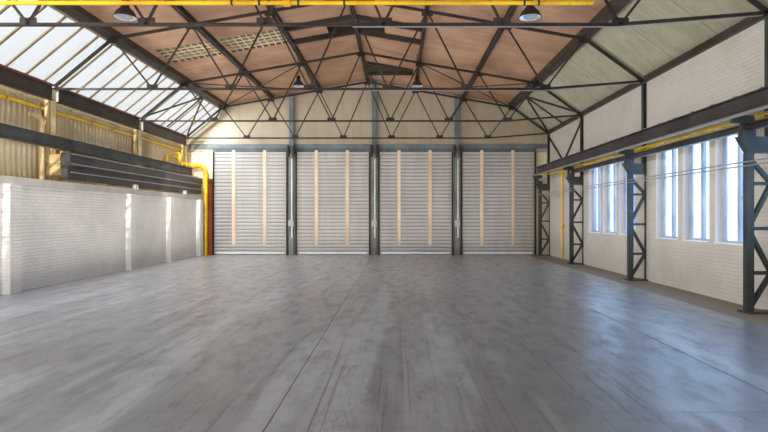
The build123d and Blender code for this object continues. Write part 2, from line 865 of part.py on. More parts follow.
with BuildPart() as bracing:
    for side in (-1, 1):
        first_s = slope_place(sheet_start, side) + brace_bar * tan(steep_angle(side))
        last_s = slope_place(wall_face - eaves_purlin, side)
        for end in (-1, 1):
            with BuildSketch(slope_plane(side)):
                apex = (first_s - brace_bar, end * brace_middle)
                for foot in (brace_start - brace_bar, brace_middle, brace_stop + brace_bar):
                    add_bar(apex, (last_s + brace_bar, end * foot), brace_bar)
                with Locations(((first_s + last_s) / 2, end * brace_middle)):
                    Rectangle(last_s - first_s, brace_stop - brace_start, mode=Mode.INTERSECT)
            extrude(amount=-brace_bar)
    for side in (-1, 1):
        fall = atan2(low_pitch, 1)
        low_plane = Plane(
            origin=(0, 0, up(ridge_height)),
            x_dir=(side * cos(fall), 0, -sin(fall)),
            z_dir=(side * sin(fall), 0, cos(fall)),
        )
        near_s = top_step / cos(fall)
        far_s = (knee_x - top_chord) / cos(fall)
        for end in (-1, 1):
            with BuildSketch(low_plane):
                for start_y, stop_y in ((brace_start, brace_stop), (brace_stop, brace_start)):
                    reach = roof_rod if stop_y > start_y else -roof_rod
                    add_bar((near_s, end * (start_y - reach)), (far_s, end * (stop_y + reach)), roof_rod)
                with Locations(((near_s + far_s) / 2, end * brace_middle)):
                    Rectangle(2 * (far_s - near_s), brace_stop - brace_start, mode=Mode.INTERSECT)
            extrude(amount=roof_rod / 2, both=True)
    for end in (-1, 1):
        first_y = half_full + upper_column_width / 2
        last_y = last_line - upper_column_width / 2
        foot = (end * (first_y + last_y) / 2, up(wall_brace_foot))
        with BuildSketch(Plane.YZ.offset(wall_face)):
            for column_y in (first_y - wall_brace, last_y + wall_brace):
                add_bar(foot, (end * column_y, up(wall_brace_top)), wall_brace)
            with Locations((foot[0], up(wall_brace_top + wall_brace_foot) / 2)):
                Rectangle(last_y - first_y, 2 * wall_brace_top, mode=Mode.INTERSECT)
        extrude(amount=-wall_brace)
bracing.part.label = "bracing"
export_step(bracing.part, "parts/bracing.step")

# Gables: piers beside the doorways, the left one with the strip up to the cladding, and one wall over them
pier_edges = [-wall_face]
for centre in door_centres:
    pier_edges += [centre - door_width / 2, centre + door_width / 2]
pier_edges.append(wall_face)

with BuildPart() as gable_piers:
    for end in (-1, 1):
        with BuildSketch(Plane.XY.offset(floor_level)):
            inner_y = end * inner_half
            outer_y = end * outer_half
            for left, right in zip(pier_edges[::2], pier_edges[1::2]):
                add_panel(left, right, min(inner_y, outer_y), max(inner_y, outer_y))
        extrude(amount=door_height)
        with BuildSketch(Plane.XY.offset(up(band_top))):
            add_panel(-cladding_face, -wall_face, min(inner_y, outer_y), max(inner_y, outer_y))
        extrude(amount=door_height - band_top)
gable_piers.part.label = "gable_piers"
export_step(gable_piers.part, "parts/gable_piers.step")


# Adds the outline of the wall over the doorways, up to the roof
def add_gable_outline():
    add_outline([
        (-cladding_face, up(door_height)),
        (wall_face, up(door_height)),
        (wall_face, slope_under(wall_face, 1)),
        (sheet_start, slope_under(sheet_start, 1)),
        (sheet_start, deck_under(sheet_start)),
        (0, deck_under(0)),
        (-sheet_start, deck_under(sheet_start)),
        (-sheet_start, slope_under(sheet_start, -1)),
        (-cladding_face, slope_under(cladding_face, -1)),
    ])


gable_middle = (inner_half + outer_half) / 2

with BuildPart() as gable_walls:
    for end in (-1, 1):
        with BuildSketch(section_at(end * gable_middle)):
            add_gable_outline()
        extrude(amount=gable_thickness / 2, both=True)
gable_walls.part.label = "gable_walls"
export_step(gable_walls.part, "parts/gable_walls.step")

# Steel columns between the doorways
with BuildPart() as gable_columns:
    for end in (-1, 1):
        middle_y = end * (inner_half - gable_column / 2)
        for x in column_centres:
            with BuildSketch(Plane.XY.offset(floor_level)):
                with Locations((x, middle_y)):
                    Rectangle(gable_column, gable_column)
                with Locations((x - gable_column / 2, middle_y), (x + gable_column / 2, middle_y)):
                    Rectangle(gable_column - gable_column_web, gable_column - 2 * gable_column_offset,
                              mode=Mode.SUBTRACT)
            extrude(amount=deck_under(gable_column / 2 + abs(x)) - floor_level)
gable_columns.part.label = "gable_columns"
export_step(gable_columns.part, "parts/gable_columns.step")

# Roller shutters: closed at the far end, rolled up at the near end
shutter_width = door_width + 2 * shutter_side_lap
hood_bottom = door_height


# Adds the plan of pieces that stand at one depth from the inner face of a gable
def add_door_plan(end, x_pairs, near_gap, far_gap):
    edges = sorted((end * (inner_half - near_gap), end * (inner_half - far_gap)))
    for left, right in x_pairs:
        add_panel(left, right, edges[0], edges[1])


shutter_edges = [(x - shutter_width / 2, x + shutter_width / 2) for x in door_centres]

with BuildPart() as shutter_curtains:
    with BuildSketch(Plane.XY.offset(floor_level)):
        add_door_plan(1, shutter_edges, curtain_offset + curtain_thickness, curtain_offset)
    extrude(amount=hood_bottom)
    with BuildSketch(Plane.XY.offset(up(hood_bottom - bottom_rail))):
        add_door_plan(-1, shutter_edges, curtain_offset + curtain_thickness, curtain_offset)
    extrude(amount=bottom_rail)
shutter_curtains.part.label = "shutter_curtains"
export_step(shutter_curtains.part, "parts/shutter_curtains.step")

guide_edges = []
for left, right in shutter_edges:
    guide_edges += [(left - guide_width, left), (right, right + guide_width)]

with BuildPart() as shutter_guides:
    for end in (-1, 1):
        with BuildSketch(Plane.XY.offset(floor_level)):
            add_door_plan(end, guide_edges, guide_depth, 0)
        extrude(amount=hood_bottom)
shutter_guides.part.label = "shutter_guides"
export_step(shutter_guides.part, "parts/shutter_guides.step")

hood_edges = [(left - guide_width, right + guide_width) for left, right in shutter_edges]

with BuildPart() as shutter_hoods:
    for end in (-1, 1):
        with BuildSketch(Plane.XY.offset(up(hood_bottom))):
            add_door_plan(end, hood_edges, -gable_thickness, -gable_thickness - hood_depth)
        extrude(amount=hood_height)
shutter_hoods.part.label = "shutter_hoods"
export_step(shutter_hoods.part, "parts/shutter_hoods.step")

with BuildPart() as door_lintels:
    for end in (-1, 1):
        with BuildSketch(Plane.XY.offset(up(hood_bottom))):
            add_door_plan(end, hood_edges, curtain_offset + curtain_thickness, 0)
        extrude(amount=lintel_height)
door_lintels.part.label = "door_lintels"
export_step(door_lintels.part, "parts/door_lintels.step")

lintel_edges = [-wall_face]
for x in column_centres:
    lintel_edges += [x - gable_column / 2, x + gable_column / 2]
lintel_edges.append(wall_face)

with BuildPart() as lintel_flashing:
    for end in (-1, 1):
        with BuildSketch(Plane.XY.offset(up(hood_bottom + lintel_height))):
            add_door_plan(end, list(zip(lintel_edges[::2], lintel_edges[1::2])), flashing_thickness, 0)
        extrude(amount=flashing_height)
lintel_flashing.part.label = "lintel_flashing"
export_step(lintel_flashing.part, "parts/lintel_flashing.step")

board_edges = []
for left, right in shutter_edges:
    for place in board_places:
        board_centre = left + place * (right - left)
        board_edges.append((board_centre - board_width / 2, board_centre + board_width / 2))

with BuildPart() as shutter_boards:
    front = curtain_offset + curtain_thickness
    with BuildSketch(Plane.XY.offset(up(shutter_board_bottom))):
        add_door_plan(1, board_edges, front + shutter_board_thickness, front)
    extrude(amount=shutter_board_top - shutter_board_bottom)
shutter_boards.part.label = "shutter_boards"
export_step(shutter_boards.part, "parts/shutter_boards.step")

drive_edges = [(x - drive_width / 2, x + drive_width / 2) for x in column_centres]

with BuildPart() as shutter_drives:
    for end in (-1, 1):
        with BuildSketch(Plane.XY.offset(up(drive_bottom))):
            add_door_plan(end, drive_edges, gable_column + drive_depth, gable_column)
        extrude(amount=drive_height)
shutter_drives.part.label = "shutter_drives"
export_step(shutter_drives.part, "parts/shutter_drives.step")

with BuildPart() as control_boxes:
    for end in (-1, 1):
        with BuildSketch(Plane.XY.offset(up(box_bottom))):
            box_edges = [(x - box_width / 2, x + box_width / 2) for x in column_centres]
            add_door_plan(end, box_edges, gable_column + box_depth, gable_column)
        extrude(amount=box_height)
control_boxes.part.label = "control_boxes"
export_step(control_boxes.part, "parts/control_boxes.step")

# Pipes and conduits
corner_y = inner_half - corner_pipe_gap
red_y = inner_half - red_pipe_gap

cross_y = -chord_width / 2 - cross_pipe / 2
wall_pipe_centre = wall_pipe / 2 - cladding_face
right_drop_start = right_pipe_end - 2 * right_pipe_bend

with BuildPart() as gas_pipes:
    add_pipe([
        (wall_pipe_centre, -inner_half, up(wall_pipe_height)),
        (wall_pipe_centre, inner_half, up(wall_pipe_height)),
    ], wall_pipe)
    add_pipe([
        (cross_pipe_start, cross_y, up(cross_pipe_height)),
        (cross_pipe_end, cross_y, up(cross_pipe_height)),
    ], cross_pipe)
    add_pipe([
        (right_pipe_x, -half_full, up(right_pipe_height)),
        (right_pipe_x, right_drop_start, up(right_pipe_height)),
    ], right_pipe)
gas_pipes.part.label = "gas_pipes"
export_step(gas_pipes.part, "parts/gas_pipes.step")

with BuildPart() as gas_pipe_drops:
    add_pipe([
        (corner_pipe_x, corner_y, floor_level),
        (corner_pipe_x, corner_y, up(corner_pipe_top)),
        (-rail_face, corner_y, up(corner_pipe_top)),
    ], corner_pipe, corner_bend)
    add_pipe([
        (right_pipe_x, right_drop_start, up(right_pipe_height)),
        (right_pipe_x, right_pipe_end, up(right_pipe_height)),
        (right_pipe_drop_x, right_pipe_end, up(right_pipe_height)),
        (right_pipe_drop_x, right_pipe_end, floor_level),
    ], right_pipe, right_pipe_bend)
gas_pipe_drops.part.label = "gas_pipe_drops"
export_step(gas_pipe_drops.part, "parts/gas_pipe_drops.step")

with BuildPart() as red_pipe_stand:
    add_pipe([(red_pipe_x, red_y, floor_level), (red_pipe_x, red_y, up(red_pipe_top))], red_pipe)
red_pipe_stand.part.label = "red_pipe_stand"
export_step(red_pipe_stand.part, "parts/red_pipe_stand.step")

with BuildPart() as girder_pipe_run:
    pipe_x = haunch_face - girder_pipe / 2
    add_pipe([
        (pipe_x, -girder_half_length, up(right_girder_bottom) - girder_pipe / 2),
        (pipe_x, girder_half_length, up(right_girder_bottom) - girder_pipe / 2),
    ], girder_pipe)
girder_pipe_run.part.label = "girder_pipe_run"
export_step(girder_pipe_run.part, "parts/girder_pipe_run.step")

conduit_stop = upper_column_face - conduit_clearance
conduit_x = column_face - wall_conduit / 2
conduit_drop = chord_conduit / 2 + seat_gap

with BuildPart() as conduits:
    for height in wall_conduit_heights:
        add_pipe([(conduit_x, -last_line, up(height)), (conduit_x, last_line, up(height))], wall_conduit)
    for y in (0, bay):
        add_pipe([
            (chord_conduit_start, y, tie_under(tie_bend_x) - conduit_drop),
            (tie_bend_x, y, tie_under(tie_bend_x) - conduit_drop),
            (conduit_stop, y, tie_under(conduit_stop) - conduit_drop),
        ], chord_conduit, chord_conduit_bend)
conduits.part.label = "conduits"
export_step(conduits.part, "parts/conduits.step")


# Adds one lamp: a rod down from the deck, a housing and an open shade
def add_lamp(x, y, rim_height):
    rim = up(rim_height)
    shade_top = rim + lamp_shade_height
    body_top = shade_top + lamp_body_height
    with BuildSketch(Plane(origin=(x, y, 0), x_dir=(1, 0, 0), z_dir=(0, -1, 0))) as shade:
        add_outline([
            (0, shade_top),
            (lamp_neck - lamp_wall, shade_top),
            (lamp_rim - lamp_wall, rim),
            (lamp_rim, rim),
            (lamp_neck, body_top - lamp_body_height / 2),
            (lamp_neck, body_top),
            (0, body_top),
        ])
    revolve(shade.sketch, axis=Axis((x, y, 0), (0, 0, 1)))
    with BuildSketch(Plane.XY.offset(body_top)) as rod:
        with Locations((x, y)):
            Circle(lamp_rod / 2)
    extrude(rod.sketch, amount=deck_under(abs(x) + lamp_rod / 2) - body_top)


with BuildPart() as lamps:
    for x in wide_lamp_x:
        add_lamp(x, lamp_offset, wide_lamp_rim_height)
    for x in narrow_lamp_x:
        for end in (-1, 1):
            add_lamp(x, end * (half_full - lamp_offset), narrow_lamp_rim_height)
lamps.part.label = "lamps"
export_step(lamps.part, "parts/lamps.step")
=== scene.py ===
import bpy
import numpy as np
from math import cos, hypot, pi, radians, sin
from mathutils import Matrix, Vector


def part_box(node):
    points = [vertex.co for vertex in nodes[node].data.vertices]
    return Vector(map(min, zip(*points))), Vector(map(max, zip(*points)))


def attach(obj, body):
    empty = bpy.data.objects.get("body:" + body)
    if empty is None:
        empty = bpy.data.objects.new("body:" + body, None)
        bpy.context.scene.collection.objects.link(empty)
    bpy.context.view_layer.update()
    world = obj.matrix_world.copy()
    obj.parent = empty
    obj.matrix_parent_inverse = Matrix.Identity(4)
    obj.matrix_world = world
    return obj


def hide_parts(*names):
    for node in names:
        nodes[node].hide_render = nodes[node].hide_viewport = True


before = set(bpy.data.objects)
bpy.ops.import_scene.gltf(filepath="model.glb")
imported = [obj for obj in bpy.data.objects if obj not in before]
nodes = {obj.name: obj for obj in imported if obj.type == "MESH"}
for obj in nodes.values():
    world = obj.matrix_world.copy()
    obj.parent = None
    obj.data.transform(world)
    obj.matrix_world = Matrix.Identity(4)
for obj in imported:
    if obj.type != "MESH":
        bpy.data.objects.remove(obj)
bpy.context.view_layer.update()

scene = bpy.context.scene
floorTop = 0.15
# Lines of the frame along the hall, and the middles of the doors across it
lines = (-14.35, -10.0, -5.0, 0.0, 5.0, 10.0, 14.35)
doorMiddles = [0.285 + (i - 1.5) * 3.625 for i in range(4)]

# Camera, lights and the ground round the hall
cameraSet = {"place": (1.28, -9.85, 1.85), "shift": -13 / 768, "lens": 26.25}
sunSet = {"towards": (-0.055, 0.86, -0.456), "power": 6.5, "spread": 0.5, "tint": (1.0, 0.91, 0.80)}
skySet = {"tint": (0.92, 0.96, 1.0), "power": 1.1}
# name, place, turn in degrees, size, power, tint, seen in reflections
fillSet = (
    ("floorBounce", (0.0, 0.5, 0.4), (180, 0, 0), (13.0, 27.0), 1080, (1.0, 0.93, 0.84), False),
    ("glazingGlow", (-6.9, 0.5, 5.6), (0, -50, 0), (1.6, 28.0), 1750, (0.92, 0.95, 1.0), False),
    ("backGlow", (-4.8, -13.9, 2.6), (90, 0, 0), (5.0, 4.0), 700, (1.0, 0.96, 0.90), False),
    ("cornerGlow", (-6.4, 10.6, 4.2), (70, 0, -20), (1.6, 3.0), 55, (1.0, 0.93, 0.80), False),
    ("windowGlow", (7.78, 0.0, 2.5), (0, 90, 0), (2.4, 18.0), 190, (0.24, 0.53, 1.0), True),
    ("windowSky", (8.15, 0.0, 2.5), (0, 90, 0), (2.35, 18.6), 760, (0.66, 0.83, 1.0), False),
)
groundSet = {"half": 400.0, "tint": (0.50, 0.50, 0.49), "patches": (0.46, 0.46, 0.45)}

cameraData = bpy.data.cameras.new("camera")
cameraData.sensor_width = 36.0
cameraData.lens = cameraSet["lens"]
cameraData.clip_end = 2000.0
camera = bpy.data.objects.new("camera", cameraData)
camera.location = cameraSet["place"]
camera.rotation_euler = (radians(90), 0, 0)
cameraData.shift_x = cameraSet["shift"]
scene.collection.objects.link(camera)
scene.camera = camera
scene.view_settings.view_transform = "Standard"

sunData = bpy.data.lights.new("sun", "SUN")
sunData.energy = sunSet["power"]
sunData.angle = radians(sunSet["spread"])
sunData.color = sunSet["tint"]
sun = bpy.data.objects.new("sun", sunData)
sunAim = -np.array(sunSet["towards"]) / np.linalg.norm(sunSet["towards"])
sun.rotation_euler = (np.arccos(sunAim[2]), 0, np.arctan2(sunAim[0], -sunAim[1]))
scene.collection.objects.link(sun)

for name, place, turn, size, power, tint, mirrored in fillSet:
    lampData = bpy.data.lights.new(name, "AREA")
    lampData.shape = "RECTANGLE"
    lampData.size, lampData.size_y = size
    lampData.energy = power
    lampData.color = tint
    fill = bpy.data.objects.new(name, lampData)
    fill.location = place
    fill.rotation_euler = [radians(a) for a in turn]
    fill.visible_camera = False
    fill.visible_glossy = mirrored
    scene.collection.objects.link(fill)

world = bpy.data.worlds.new("sky")
world.use_nodes = True
scene.world = world
world.node_tree.nodes["Background"].inputs["Color"].default_value = (*skySet["tint"], 1)
world.node_tree.nodes["Background"].inputs["Strength"].default_value = skySet["power"]
print("camera and lights done")


def asRows(values):
    return np.atleast_2d(np.asarray(values, float))


# Vectors divided by their own length
def unitOf(vectors):
    return vectors / np.linalg.norm(vectors, axis=-1, keepdims=True)


# A patch is an array of points and a list of index arrays, one for each number of corners.
# Joins the rows and columns of a grid of points with four-cornered faces.
def gridPatch(points, closedRows=False, closedColumns=False):
    rows, columns = points.shape[:2]
    i = np.arange(rows - (not closedRows))[:, None]
    j = np.arange(columns - (not closedColumns))[None, :]
    nextI, nextJ = (i + 1) % rows, (j + 1) % columns
    corners = [i * columns + j, i * columns + nextJ, nextI * columns + nextJ, nextI * columns + j]
    return points.reshape(-1, 3), [np.stack(np.broadcast_arrays(*corners), -1).reshape(-1, 4)]


# Closes both ends of a grid whose columns run round
def endCaps(rows, columns):
    ring = np.arange(columns)
    return np.stack([ring[::-1], ring + (rows - 1) * columns])


# Puts patches together, each with its own points
def joinPatches(patches):
    points, faces, start = [], [], 0
    for patchPoints, patchFaces in patches:
        points.append(patchPoints)
        faces += [f + start for f in patchFaces]
        start += len(patchPoints)
    return np.concatenate(points), faces


# Boxes from their lowest and highest corners: a corner is low + (high - low) * (0 or 1 along each axis)
def boxPatch(lows, highs):
    lows, highs = asRows(lows), asRows(highs)
    unit = np.array([[0, 0, 0], [1, 0, 0], [1, 1, 0], [0, 1, 0], [0, 0, 1], [1, 0, 1], [1, 1, 1], [0, 1, 1]])
    sides = np.array([[0, 3, 2, 1], [4, 5, 6, 7], [0, 1, 5, 4], [1, 2, 6, 5], [2, 3, 7, 6], [3, 0, 4, 7]])
    points = lows[:, None] + (highs - lows)[:, None] * unit[None]
    faces = sides[None] + np.arange(len(lows))[:, None, None] * 8
    return points.reshape(-1, 3), [faces.reshape(-1, 4)]


# The same boxes at each line of the frame, given as x, half of y, and z
def lineBoxes(boxes):
    lows = [(x[0], y - half, z[0]) for y in lines for x, half, z in boxes]
    highs = [(x[1], y + half, z[1]) for y in lines for x, half, z in boxes]
    return boxPatch(lows, highs)


# Straight bars: a profile point (p, q) at start and end is place + p * side + q * up,
# where side is upHint crossed with the direction and up is the direction crossed with side.
def barPatch(profile, starts, ends, upHint=(0, 0, 1)):
    profile = np.asarray(profile, float)
    starts, ends = asRows(starts), asRows(ends)
    run = unitOf(ends - starts)
    side = unitOf(np.cross(np.broadcast_to(np.asarray(upHint, float), run.shape), run))
    up = np.cross(run, side)
    spread = profile[None, :, 0, None] * side[:, None] + profile[None, :, 1, None] * up[:, None]
    points = np.concatenate([starts[:, None] + spread, ends[:, None] + spread], 1)
    k = len(profile)
    j = np.arange(k)
    sides = np.stack([j, (j + 1) % k, (j + 1) % k + k, j + k], -1)
    steps = np.arange(len(starts))[:, None, None] * 2 * k
    faces = [(part[None] + steps).reshape(-1, part.shape[1]) for part in (sides, endCaps(2, k))]
    return points.reshape(-1, 3), faces


# A turned shape: radius and height along a profile, carried round a vertical axis.
# A point is centre + (r cos a, r sin a, z).
def lathePatch(profile, centre=(0, 0, 0), segments=32):
    profile = np.asarray(profile, float)
    angle = np.linspace(0, 2 * pi, segments, endpoint=False)
    radius, height = profile[:, 0, None], profile[:, 1, None]
    points = np.stack([radius * np.cos(angle), radius * np.sin(angle), height + 0 * angle], -1)
    points, faces = gridPatch(points + np.asarray(centre, float), closedColumns=True)
    return points, faces + [endCaps(len(profile), segments)]


# Makes the object, lets it ride on the hall and hides the nodes that it stands for
def addPiece(name, patch, material, replaces=(), smooth=False):
    points, faces = patch
    mesh = bpy.data.meshes.new(name)
    loops = np.concatenate([f.ravel() for f in faces])
    totals = np.concatenate([np.full(len(f), f.shape[1]) for f in faces])
    mesh.vertices.add(len(points))
    mesh.vertices.foreach_set("co", points.astype(np.float32).ravel())
    mesh.loops.add(len(loops))
    mesh.loops.foreach_set("vertex_index", loops.astype(np.int32))
    mesh.polygons.add(len(totals))
    mesh.polygons.foreach_set("loop_start", np.concatenate([[0], np.cumsum(totals)[:-1]]).astype(np.int32))
    mesh.polygons.foreach_set("use_smooth", np.full(len(totals), smooth))
    mesh.update(calc_edges=True)
    mesh.validate()
    mesh.materials.append(bpy.data.materials[material])
    piece = bpy.data.objects.new(name, mesh)
    scene.collection.objects.link(piece)
    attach(piece, "root")
    if replaces:
        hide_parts(*replaces)
    return piece


# A piece that is a thin surface, with its thickness
def addSheet(name, patch, material, replaces, thickness):
    piece = addPiece(name, patch, material, replaces, smooth=True)
    wall = piece.modifiers.new("wall", "SOLIDIFY")
    wall.thickness, wall.offset = thickness, 0


# Turns a colour as a screen shows it (0 to 255) into the light values that the shader works with
def shade(red, green, blue):
    parts = np.array([red, green, blue]) / 255
    light = np.where(parts <= 0.04045, parts / 12.92, ((parts + 0.055) / 1.055) ** 2.4)
    return (*[float(v) for v in light], 1.0)


# Adds a shader node with its fixed values, and links from other sockets
def addNode(tree, kind, values=(), **fields):
    node = tree.nodes.new("ShaderNode" + kind)
    for field, value in fields.items():
        setattr(node, field, value)
    for socket, value in dict(values).items():
        if isinstance(value, bpy.types.NodeSocket):
            tree.links.new(value, node.inputs[socket])
        else:
            node.inputs[socket].default_value = value
    return node


# A node group with its inputs and their first values; each output is one value
def newGroup(name, inputs, outputs):
    tree = bpy.data.node_groups.new(name, "ShaderNodeTree")
    for label, value in inputs.items():
        kind = "NodeSocketVector" if isinstance(value, tuple) else "NodeSocketFloat"
        tree.interface.new_socket(label, in_out="INPUT", socket_type=kind).default_value = value
    for label in outputs:
        tree.interface.new_socket(label, in_out="OUTPUT", socket_type="NodeSocketFloat")
    return tree, tree.nodes.new("NodeGroupInput").outputs, tree.nodes.new("NodeGroupOutput").inputs


# Mixes two colours; one of three parts is a colour as a screen shows it
def mixColour(tree, share, first, second):
    first, second = (shade(*c) if isinstance(c, tuple) and len(c) == 3 else c for c in (first, second))
    return addNode(tree, "Mix", {0: share, 6: first, 7: second}, data_type="RGBA").outputs[2]


def mathNode(tree, operation, *values):
    return addNode(tree, "Math", dict(enumerate(values)), operation=operation).outputs[0]


def times(tree, first, second):
    return mathNode(tree, "MULTIPLY", first, second)


def minus(tree, first, second):
    return mathNode(tree, "SUBTRACT", first, second)


def rangeNode(tree, value, low, high, toLow=0.0, toHigh=1.0):
    places = {0: value, 1: low, 2: high, 3: toLow, 4: toHigh}
    return addNode(tree, "MapRange", places).outputs[0]


# Lays colours over a base, one after the other; each step is a mask, its strength and the colour
def layColours(tree, base, *steps):
    for mask, strength, colour in steps:
        base = mixColour(tree, times(tree, mask, strength), base, colour)
    return base


# Soft patches of a second colour: noise on the object's own coordinates, stretched along each axis
def buildPatches():
    tree, source, result = newGroup(
        "softPatches", {"Stretch": (1, 1, 1), "Scale": 1.0, "Low": 0.4, "High": 0.6}, ("Mask", "Fine"))
    place = addNode(tree, "TexCoord").outputs["Object"]
    stretched = addNode(tree, "VectorMath", {0: place, 1: source["Stretch"]}, operation="MULTIPLY")
    noise = addNode(tree, "TexNoise", {
        "Vector": stretched.outputs[0], "Scale": source["Scale"], "Detail": 6.0, "Roughness": 0.6})
    mask = rangeNode(tree, noise.outputs["Fac"], source["Low"], source["High"])
    tree.links.new(mask, result["Mask"])
    fine = addNode(tree, "TexNoise", {"Vector": place, "Scale": 60.0, "Detail": 4.0})
    tree.links.new(fine.outputs["Fac"], result["Fine"])
    return tree


# Brick courses on any upright face, 250 by 77 mm from joint to joint, laid along the sum of X and Y and up Z
def buildBricks():
    tree, source, result = newGroup("brickCourses", {"Length": 0.25, "Height": 0.077}, ("Joint", "Tone"))
    place = addNode(tree, "TexCoord").outputs["Object"]
    parts = addNode(tree, "SeparateXYZ", {0: place}).outputs
    flat = addNode(tree, "CombineXYZ", {0: mathNode(tree, "ADD", parts[0], parts[1]), 1: parts[2]})
    bricks = addNode(tree, "TexBrick", {
        "Vector": flat.outputs[0], "Color1": (0, 0, 0, 1), "Color2": (1, 1, 1, 1),
        "Mortar": (0.5, 0.5, 0.5, 1), "Scale": 1.0, "Mortar Size": 0.006, "Mortar Smooth": 0.5,
        "Brick Width": source["Length"], "Row Height": source["Height"]})
    tree.links.new(bricks.outputs["Fac"], result["Joint"])
    tone = addNode(tree, "SeparateColor", {0: bricks.outputs["Color"]})
    tree.links.new(tone.outputs[0], result["Tone"])
    return tree


# Straight joints at an even pitch along one axis: a mask that falls from 1 at a joint to 0 at Width beside it,
# and a random tone for each strip between two joints
def buildJoints():
    tree, source, result = newGroup(
        "evenJoints", {"Axis": (1, 0, 0), "Pitch": 1.0, "Width": 0.01, "Start": 0.0}, ("Joint", "Tone"))
    place = addNode(tree, "TexCoord").outputs["Object"]
    along = addNode(tree, "VectorMath", {0: place, 1: source["Axis"]}, operation="DOT_PRODUCT")
    shifted = minus(tree, along.outputs["Value"], source["Start"])
    turns = mathNode(tree, "DIVIDE", shifted, source["Pitch"])
    off = mathNode(tree, "ABSOLUTE", minus(tree, mathNode(tree, "FRACT", turns), 0.5))
    gap = times(tree, minus(tree, 0.5, off), source["Pitch"])
    tree.links.new(rangeNode(tree, gap, source["Width"], 0.0), result["Joint"])
    number = addNode(tree, "TexWhiteNoise", {"W": mathNode(tree, "FLOOR", turns)}, noise_dimensions="1D")
    tree.links.new(number.outputs["Value"], result["Tone"])
    return tree


groups = {"patches": buildPatches(), "bricks": buildBricks(), "joints": buildJoints()}


def useGroup(tree, name, **values):
    node = addNode(tree, "Group")
    node.node_tree = groups[name]
    for socket, value in values.items():
        node.inputs[socket].default_value = value
    return node.outputs


# A material with its fixed shader values; returns its tree and its shader's inputs
def newMaterial(name, **values):
    material = bpy.data.materials.new(name)
    material.use_nodes = True
    inputs = material.node_tree.nodes["Principled BSDF"].inputs
    for socket, value in values.items():
        inputs[socket.replace("_", " ")].default_value = value
    return material.node_tree, inputs


def linkBump(tree, inputs, height, distance, strength=1.0):
    bump = addNode(tree, "Bump", {"Height": height, "Distance": distance, "Strength": strength})
    tree.links.new(bump.outputs[0], inputs["Normal"])


# Painted steel: the paint with darker grime in broad patches and rust in small ones.
# name: paint, grime and rust as a screen shows them, roughness
steelPaints = {
    "steelDark": ((62, 56, 53), (38, 34, 32), (94, 62, 46), 0.45),
    "steelGreen": ((60, 67, 63), (37, 42, 39), (84, 64, 52), 0.42),
    "frameBlue": ((176, 188, 208), (130, 152, 184), (112, 120, 132), 0.45),
    "steelCream": ((226, 208, 158), (176, 150, 104), (140, 84, 48), 0.45),
    "steelBlueGrey": ((118, 128, 130), (88, 98, 100), (104, 88, 76), 0.40),
    "steelSlate": ((96, 104, 108), (66, 74, 78), (96, 84, 74), 0.40),
    "steelHousing": ((60, 58, 60), (38, 36, 38), (88, 66, 52), 0.38),
    "girderGrey": ((84, 90, 84), (54, 56, 52), (104, 74, 58), 0.45),
    "glazingPaint": ((150, 136, 108), (112, 88, 68), (110, 70, 50), 0.5),
    "yellowPaint": ((244, 200, 24), (206, 158, 20), (120, 84, 30), 0.32),
    "redPaint": ((134, 62, 46), (92, 42, 32), (70, 36, 28), 0.4),
}
for name, (paint, grime, rust, roughness) in steelPaints.items():
    tree, inputs = newMaterial(name)
    broad = useGroup(tree, "patches", Scale=1.1, Low=0.42, High=0.66)
    small = useGroup(tree, "patches", Scale=9.0, Low=0.60, High=0.74)
    base = mixColour(tree, broad["Mask"], paint, grime)
    tree.links.new(mixColour(tree, small["Mask"], base, rust), inputs["Base Color"])
    dull = rangeNode(tree, small["Fine"], 0.3, 0.7, roughness - 0.08, roughness + 0.2)
    tree.links.new(dull, inputs["Roughness"])
    linkBump(tree, inputs, small["Fine"], 0.002, 0.4)


# Masonry paint over brick: joints stand back, some bricks show a little darker, dirt in broad and small patches
def buildBrickPaint(name, paint, dirt, bumpDepth):
    tree, inputs = newMaterial(name, Roughness=0.75)
    bricks = useGroup(tree, "bricks")
    broad = useGroup(tree, "patches", Scale=0.8, Low=0.45, High=0.7)
    small = useGroup(tree, "patches", Scale=7.0, Low=0.55, High=0.75, Stretch=(1, 1, 2))
    colour = layColours(tree, paint, (broad["Mask"], 0.35, dirt), (small["Mask"], 0.18, dirt),
                        (bricks["Tone"], 0.10, dirt), (bricks["Joint"], 0.22, dirt))
    tree.links.new(colour, inputs["Base Color"])
    raised = minus(tree, times(tree, small["Fine"], 0.5), bricks["Joint"])
    linkBump(tree, inputs, raised, bumpDepth)


# Concrete floor: long pale and dark tracks, tyre marks, saw cuts and stains, with an uneven shine. Towards the
# far end it is painted paler, a painted sheen for the shine of the far floor. The strip along the windows was
# never polished: it is browner and dull.
floorSet = {"farSheenY": (-3.0, 12.0), "dust": 0.55, "stripX": (6.92, 6.98), "cutPitch": 4.6, "cutStart": 0.23,
            "crossPitch": 5.0, "roughness": (0.23, 0.36)}


